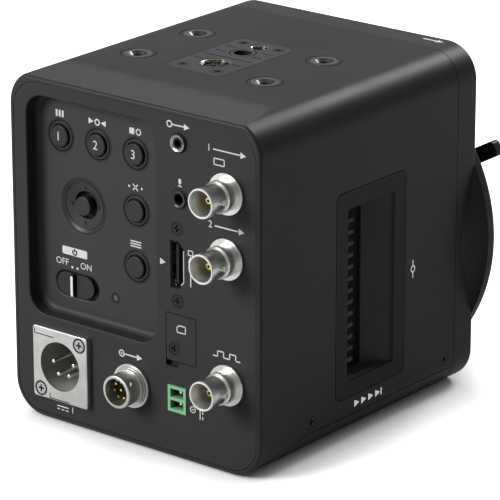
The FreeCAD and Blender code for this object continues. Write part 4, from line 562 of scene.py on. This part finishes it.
def print_sockets():
    plug = [ring(-3.6, 0, 0.95), stroke((-2.4, 0), (2.2, 0)), arrow_head(3.2, 0, 2.0)]
    print_on("sign_remote_a", plug, (-19.0, REAR, 109.9), FACING_REAR)
    voice = [rounded_box(0, 0.35, 1.1, 1.7, 0.5), stroke((0, -0.6), (0, -1.3), 0.3),
             stroke((-0.8, -1.25), (0.8, -1.25), 0.3)]
    print_on("sign_voice", voice, (-19.4, REAR, 91.8), FACING_REAR)
    first = [glyphs("1", -6.9, 0.1, 3.2), stroke((-5.2, 0), (5.2, 0)), arrow_head(6.4, 0, 2.0)]
    print_on("sign_out_1", first, (-37.9, REAR, 105.2), FACING_REAR)
    screen = polyline([(-2, -1), (2, -1), (2, 1), (-2, 1), (-2, -1)], 0.36)
    print_on("sign_screen", screen, (-35.0, REAR, 101.4), FACING_REAR)
    second = [glyphs("2", -6.4, 0.1, 3.2), stroke((-4.6, 0), (4.6, 0)), arrow_head(5.8, 0, 2.0)]
    print_on("sign_out_2", second, (-37.8, REAR, 80.7), FACING_REAR)
    print_on("sign_port", [arrow_head(0, 0, 2.1)], (-12.2, REAR, 64.5), FACING_REAR)
    picture = [stroke((0, -5.6), (0, 2.4)), arrow_head(0, 3.3, 2.0, 90)]
    picture += polyline([(-0.9, 4.7), (0.9, 4.7), (0.9, 6.2), (-0.9, 6.2), (-0.9, 4.7)], 0.34)
    print_on("sign_picture", picture, (-23.5, REAR, 64.2), FACING_REAR)
    card = polyline([(-1.7, -1.15), (1.7, -1.15), (1.7, 1.15), (-0.9, 1.15), (-1.7, 0.4),
                     (-1.7, -1.15)], 0.36)
    print_on("sign_card", card, (-19.5, REAR, 43.6), FACING_REAR, body="card_door_body")
    wave = polyline([(-5.4, -0.9), (-3.6, -0.9), (-3.6, 0.9), (-1.2, 0.9), (-1.2, -0.9),
                     (1.2, -0.9), (1.2, 0.9), (3.6, 0.9), (3.6, -0.9), (5.4, -0.9)], 0.38)
    print_on("sign_wave", wave, (-37.7, REAR, 39.2), FACING_REAR)
    pins = [ring(-3.9, 0, 1.0), disc(-3.9, 0, 0.35), stroke((-2.6, 0), (2.4, 0)),
            arrow_head(3.4, 0, 2.0)]
    print_on("sign_remote_b", pins, (1.2, REAR, 30.0), FACING_REAR)
    print_on("sign_direct_1", direct_current() + [glyphs("1", 3.4, 0.1, 3.0)],
             (29.8, REAR, 4.9), FACING_REAR)
    dot = [disc(0, 0, 0.75)]
    print_on("round_socket_dot", dot, (-3.35, REAR + 6.2, 23.2), (0.9, 0, math.pi))


def direct_current():
    """The usual sign for direct current: a whole line over a broken one."""
    return [stroke((-3.2, 0.45), (1.6, 0.45), 0.38)] + [
        stroke((x, -0.6), (x + 1.1, -0.6), 0.38) for x in (-3.2, -1.35, 0.5)]


def print_terminal():
    for sign, up in (("plus", 21.6), ("minus", 18.0)):
        shapes = [ring(0, 0, 1.0, 0.3), stroke((-0.5, 0), (0.5, 0), 0.3)]
        if sign == "plus":
            shapes.append(stroke((0, -0.5), (0, 0.5), 0.3))
        print_on("sign_" + sign, shapes, (-24.0, REAR, up), FACING_REAR)
    upright = (math.pi / 2, -math.pi / 2, math.pi)
    print_on("sign_direct_2", direct_current() + [glyphs("2", 3.4, 0.1, 3.0)],
             (-27.4, REAR, 18.6), upright)


def print_side():
    plane = [ring(0, 0, 1.0, 0.36), stroke((0, -3.1), (0, -1.1), 0.36),
             stroke((0, 1.1), (0, 3.1), 0.36)]
    print_on("sensor_plane_mark", plane, (low("main_shell").x, -26.2, 48.9), FACING_SIDE,
             glowing_side_ink)
    draught = [arrow_head(-6.2 + 3.7 * i, 0, 2.3, 0) for i in range(4)]
    draught.append(stroke((6.9, -1.2), (6.9, 1.2), 0.5))
    print_on("air_mark", draught, (low("main_shell").x, -2.9, 11.8), FACING_SIDE, glowing_side_ink)


def print_top():
    turn = [stroke((-3.2, 0), (2.4, 0), 0.7), arrow_head(3.4, 0, 2.4)]
    print_on("lock_turn_mark", turn, (-35.4, -55.9, high("main_shell").z), FACING_UP, bright_ink)


print_keys()
print_switch()
print_sockets()
print_terminal()
print_side()
print_top()


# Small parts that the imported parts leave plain

def jack_bezels():
    """Turned noses of the two jacks, dished towards the bore."""
    dish = [(2.75, 0.0), (2.75, 0.3), (2.62, 0.42), (2.45, 0.4), (1.8, -0.02), (1.75, -0.1)]
    for node, finish in (("remote_jack", jack_metal), ("microphone_jack", gloss_plastic)):
        spot = middle(node)
        lathe(node + "_nose", dish, (spot.x, high(node).y, spot.z), FACING_REAR, finish)
        # A dark ring round each jack, a painted shade in its gap.
        print_on(node + "_outline", [ring(0, 0, 3.3, 0.4, 40)], (spot.x, REAR, spot.z),
                 FACING_REAR, dark_ink_and_painted_shade)


def socket_outlines():
    """Painted shade: dark rings where the sockets come through the panel. Also their bright
    linings, a pale ring on each coax mouth that is a painted highlight, and the key of the round
    socket.
    """
    lining = [(4.06, 1.5), (4.06, 12.4), (4.0, 12.52), (3.92, 12.4), (3.88, 1.5)]
    # edge: the pale ring on each coax mouth, a painted highlight.
    edge = [(4.15, 12.7), (4.2, 12.84), (4.45, 12.92), (4.7, 12.84), (4.76, 12.7)]
    for i, up in enumerate(COAX_HEIGHTS, 1):
        spot = (COAX_ACROSS, REAR, up)
        print_on("coax_outline_%d" % i, [ring(0, 0, 6.95, 0.35, 48)], spot, FACING_REAR,
                 dark_ink_and_painted_shade)
        lathe("coax_lining_%d" % i, lining, spot, FACING_REAR, satin_nickel)
        lathe("coax_rim_highlight_%d" % i, edge, spot, FACING_REAR, rim_highlight_paint)
    spot = middle("remote_shell")
    print_on("round_socket_outline", [ring(0, 0, 7.5, 0.35, 48)], (spot.x, REAR, spot.z),
             FACING_REAR, dark_ink_and_painted_shade)
    key = rounded_box(0, 0, 1.5, 1.1, 0.3, 4, 3.4)
    print_on("round_socket_key", [key], (spot.x, REAR + 3.6, 24.3), FACING_REAR, white_plastic)


def thread_turns():
    """The first turns of the two threads, just under the face of the top plate."""
    for name, along, radius in THREADS:
        turns = [(radius, 114.45), (radius, 115.8)]
        for i in range(3):
            turns += [(radius - 0.12, 115.75 - 0.42 * i), (radius - 0.42, 115.54 - 0.42 * i)]
        turns.append((radius - 0.12, 114.45))
        lathe("thread_turns_" + name, turns, (THREAD_ACROSS, along, 0.0), (0, 0, 0),
              bright_thread)


def screw_rings():
    """Painted shade: dark rings for the clearance round the screws of the inlet, the video socket
    and the card door.
    """
    face = high("inlet_shell").y
    places = [((across, face, up), 2.35) for across, up in INLET_SCREWS]
    video = middle("video_socket")
    places += [((video.x, REAR, video.z + up), 2.25) for up in (-VIDEO_SCREW, VIDEO_SCREW)]
    for i, (spot, radius) in enumerate(places, 1):
        print_on("screw_ring_%d" % i, [ring(0, 0, radius, 0.42, 32)], spot, FACING_REAR,
                 dark_ink_and_painted_shade)
    door = middle("card_door_screw")
    print_on("door_screw_ring", [ring(0, 0, 2.2, 0.4, 32)], (door.x, REAR, door.z), FACING_REAR,
             dark_ink_and_painted_shade, "card_door_body")


def door_and_port():
    """Painted shade on the floor of the card door's finger notch, and a painted highlight along
    the inner edge of the video socket.
    """
    shade = [rounded_box(0, 0, 4.9, 2.1, 0.7)]
    print_on("door_notch_shade", shade, (-15.7, REAR - 1.8, 31.5), FACING_REAR, dark_ink_and_painted_shade)
    spot, wide = middle("video_socket"), high("video_socket").x - low("video_socket").x
    right = wide / 2 - 0.35
    edge = polyline([(right, 5.0), (right, -5.4), (right - 1.1, -6.5)], 0.3)
    print_on("port_painted_highlight", edge, (spot.x, high("video_socket").y, spot.z), FACING_REAR, ink)


def inlet_cup():
    """Grey lining laid on the metal wall of the cup round the pins of the power inlet: its grey
    paint stands in for the light on that wall, a painted light.
    """
    wall = [(8.26, 0.3), (8.26, 12.9), (8.2, 13.0), (8.2, 0.3)]
    lathe("inlet_cup_lining", wall, INLET_CUP, FACING_REAR, inlet_floor)


def inlet_lines():
    """Two shallow lines cut in the flange of the power inlet, printed dark: a painted shade of the
    cuts.
    """
    upper = [(40.45, 31.0), (40.45, 29.4), (32.2, 29.4)]
    lower = [(34.3, 9.8), (34.3, 8.3), (26.0, 8.3)]
    face = high("inlet_shell").y
    for name, points in (("upper", upper), ("lower", lower)):
        lines = polyline([(-x, z) for x, z in points], 0.3)
        print_on("inlet_line_" + name, lines, (0, face, 0), FACING_REAR, dark_ink_and_painted_shade)


def control_details():
    """Printed ticks round the stick; dark rings round the stick's dish, the keys and the lamp, a
    painted shade in their gaps.
    """
    spot = middle("joystick_ring")
    ticks = []
    for across, up in ((1, 0), (0, 1), (-1, 0), (0, -1)):
        foot, tip = (5.5 * across, 5.5 * up), (6.6 * across, 6.6 * up)
        barb = (foot[0] + up * 0.9, foot[1] + across * 0.9)
        ticks += [stroke(foot, tip, 0.4), stroke(foot, barb, 0.4)]
    print_on("stick_ticks", ticks, (spot.x, FLOOR - 0.84, spot.z), FACING_REAR, dark_ink_and_painted_shade)
    print_on("stick_outline", [ring(0, 0, 9.2, 0.35, 60)], (spot.x, FLOOR, spot.z), FACING_REAR,
             dark_ink_and_painted_shade)
    for node in ("button_1", "button_2", "button_3", "button_cancel", "button_menu"):
        spot = middle(node)
        print_on(node + "_outline", [ring(0, 0, 5.35, 0.6, 48)], (spot.x, FLOOR, spot.z),
                 FACING_REAR, dark_ink_and_painted_shade)
    lamp = middle("status_lamp")
    print_on("lamp_rim", [ring(0, 0, 1.4, 0.8)], (lamp.x, FLOOR, lamp.z), FACING_REAR, dark_ink_and_painted_shade)


def vent_outline():
    """Painted shade: a dark line where the vent's frame meets the side."""
    box_low, box_high = low("intake_vent"), high("intake_vent")
    spot = middle("intake_vent")
    line = loop_shape(box_high.y - box_low.y, box_high.z - box_low.z, 3.1, 0.55)
    print_on("vent_outline", [line], (low("main_shell").x, spot.y, spot.z), FACING_SIDE, dark_ink_and_painted_shade)


def slider_ridge():
    """Bright stripe on the grip ridge of the slide switch."""
    stripe = [rounded_box(0, 0, 0.95, 6.8, 0.3)]
    print_on("slider_stripe", stripe,
             (30.0, high("power_slider").y, middle("power_slider").z - 0.2),
             FACING_REAR, bright_ink, "power_slider_body")


def dust_gauze():
    """Dark filter gauze that stands behind the vent's bars."""
    print_on("dust_gauze", [rounded_box(0, 0, 27.0, 60.0, 1.0)], (-42.95, -3.0, 49.2),
             FACING_SIDE, gauze)


jack_bezels()
socket_outlines()
thread_turns()
inlet_lines()
inlet_cup()
screw_rings()
door_and_port()
control_details()
vent_outline()
slider_ridge()
dust_gauze()


# Studio

AIM = (0, 0, 0.06)
SOFTBOXES = (  # name, place, size, power
    ("key softbox", (0.8, 1.6, 0.9), (0.9, 0.9), 41.5),
    ("rim softbox", (-0.12, -1.22, 0.95), (0.42, 0.34), 11.0),
    ("top softbox", (0.7, -0.75, 1.15), (0.5, 0.5), 5.0),
)


def ray_level(tree, kinds, low_level, high_level):
    """A level that is high for the named kinds of ray and low for all others."""
    path = tree.nodes.new("ShaderNodeLightPath")
    total = path.outputs[kinds[0]]
    for kind in kinds[1:]:
        either = tree.nodes.new("ShaderNodeMath")
        either.operation = "MAXIMUM"
        tree.links.new(total, either.inputs[0])
        tree.links.new(path.outputs[kind], either.inputs[1])
        total = either.outputs[0]
    level = tree.nodes.new("ShaderNodeMapRange")
    level.inputs["To Min"].default_value = low_level
    level.inputs["To Max"].default_value = high_level
    tree.links.new(total, level.inputs["Value"])
    return level.outputs["Result"]


def multiplied(tree, first, second):
    product = tree.nodes.new("ShaderNodeMath")
    product.operation = "MULTIPLY"
    tree.links.new(first, product.inputs[0])
    tree.links.new(second, product.inputs[1])
    return product.outputs[0]


def pale_floor():
    """A floor that looks white, with a soft shadow close round the camera that is partly painted:
    its glow is dimmed by ambient occlusion close to the camera.
    """
    clear_selection()
    bpy.ops.mesh.primitive_plane_add(size=12.0, location=(0, 0, -0.0005))
    floor = bpy.context.object
    floor.name = "studio_floor"
    material, tree, shader = new_material("pale floor")[:3]
    seen = ray_level(tree, ["Is Camera Ray", "Is Glossy Ray", "Is Transmission Ray"], 0.22, 0.96)
    tree.links.new(seen, shader.inputs["Base Color"])
    shader.inputs["Roughness"].default_value = 0.8
    shader.inputs["Specular IOR Level"].default_value = 0.1
    shader.inputs["Emission Color"].default_value = (1, 1, 1, 1)
    glow = ray_level(tree, ["Is Camera Ray", "Is Transmission Ray"], 0.0, 0.93)
    painted_shadow_occlusion = tree.nodes.new("ShaderNodeAmbientOcclusion")
    painted_shadow_occlusion.inputs["Distance"].default_value = 0.022
    painted_shadow_occlusion.samples = 8
    falloff = tree.nodes.new("ShaderNodeMath")
    falloff.operation = "POWER"
    falloff.inputs[1].default_value = 2.0
    tree.links.new(painted_shadow_occlusion.outputs["AO"], falloff.inputs[0])
    tree.links.new(multiplied(tree, glow, falloff.outputs[0]), shader.inputs["Emission Strength"])
    floor.data.materials.append(material)


def white_world():
    """White where it is seen, dimmer in reflections and as light."""
    world = bpy.data.worlds.new("studio")
    bpy.context.scene.world = world
    world.use_nodes = True
    tree = world.node_tree
    background = tree.nodes["Background"]
    background.inputs["Color"].default_value = (1, 1, 1, 1)
    seen = ray_level(tree, ["Is Camera Ray", "Is Transmission Ray"], 0.0, 0.73)
    shine = ray_level(tree, ["Is Glossy Ray", "Is Camera Ray", "Is Transmission Ray"], 0.1, 0.27)
    total = tree.nodes.new("ShaderNodeMath")
    tree.links.new(seen, total.inputs[0])
    tree.links.new(shine, total.inputs[1])
    tree.links.new(total.outputs[0], background.inputs["Strength"])


def softboxes():
    for name, spot, size, power in SOFTBOXES:
        data = bpy.data.lights.new(name, "AREA")
        data.shape = "RECTANGLE"
        data.size, data.size_y = size
        data.energy = power
        lamp = bpy.data.objects.new(name, data)
        bpy.context.scene.collection.objects.link(lamp)
        lamp.location = spot
        lamp.rotation_euler = (Vector(AIM) - Vector(spot)).to_track_quat("-Z", "Y").to_euler()


def photo_camera():
    data = bpy.data.cameras.new("photo camera")
    data.sensor_width = 36.0
    data.lens = 252.5
    data.clip_start, data.clip_end = 0.05, 20.0
    camera = bpy.data.objects.new("photo camera", data)
    bpy.context.scene.collection.objects.link(camera)
    camera.location = (-0.676273, 0.836545, 0.425622)
    across = Vector((-0.780000, -0.625779, -0.000665))
    up = Vector((0.205134, -0.256693, 0.944473))
    back = -Vector((0.591202, -0.736552, -0.328590))
    camera.rotation_euler = Matrix((across, up, back)).transposed().to_euler()
    bpy.context.scene.camera = camera


pale_floor()
white_world()
softboxes()
photo_camera()
bpy.context.scene.view_settings.view_transform = "Standard"
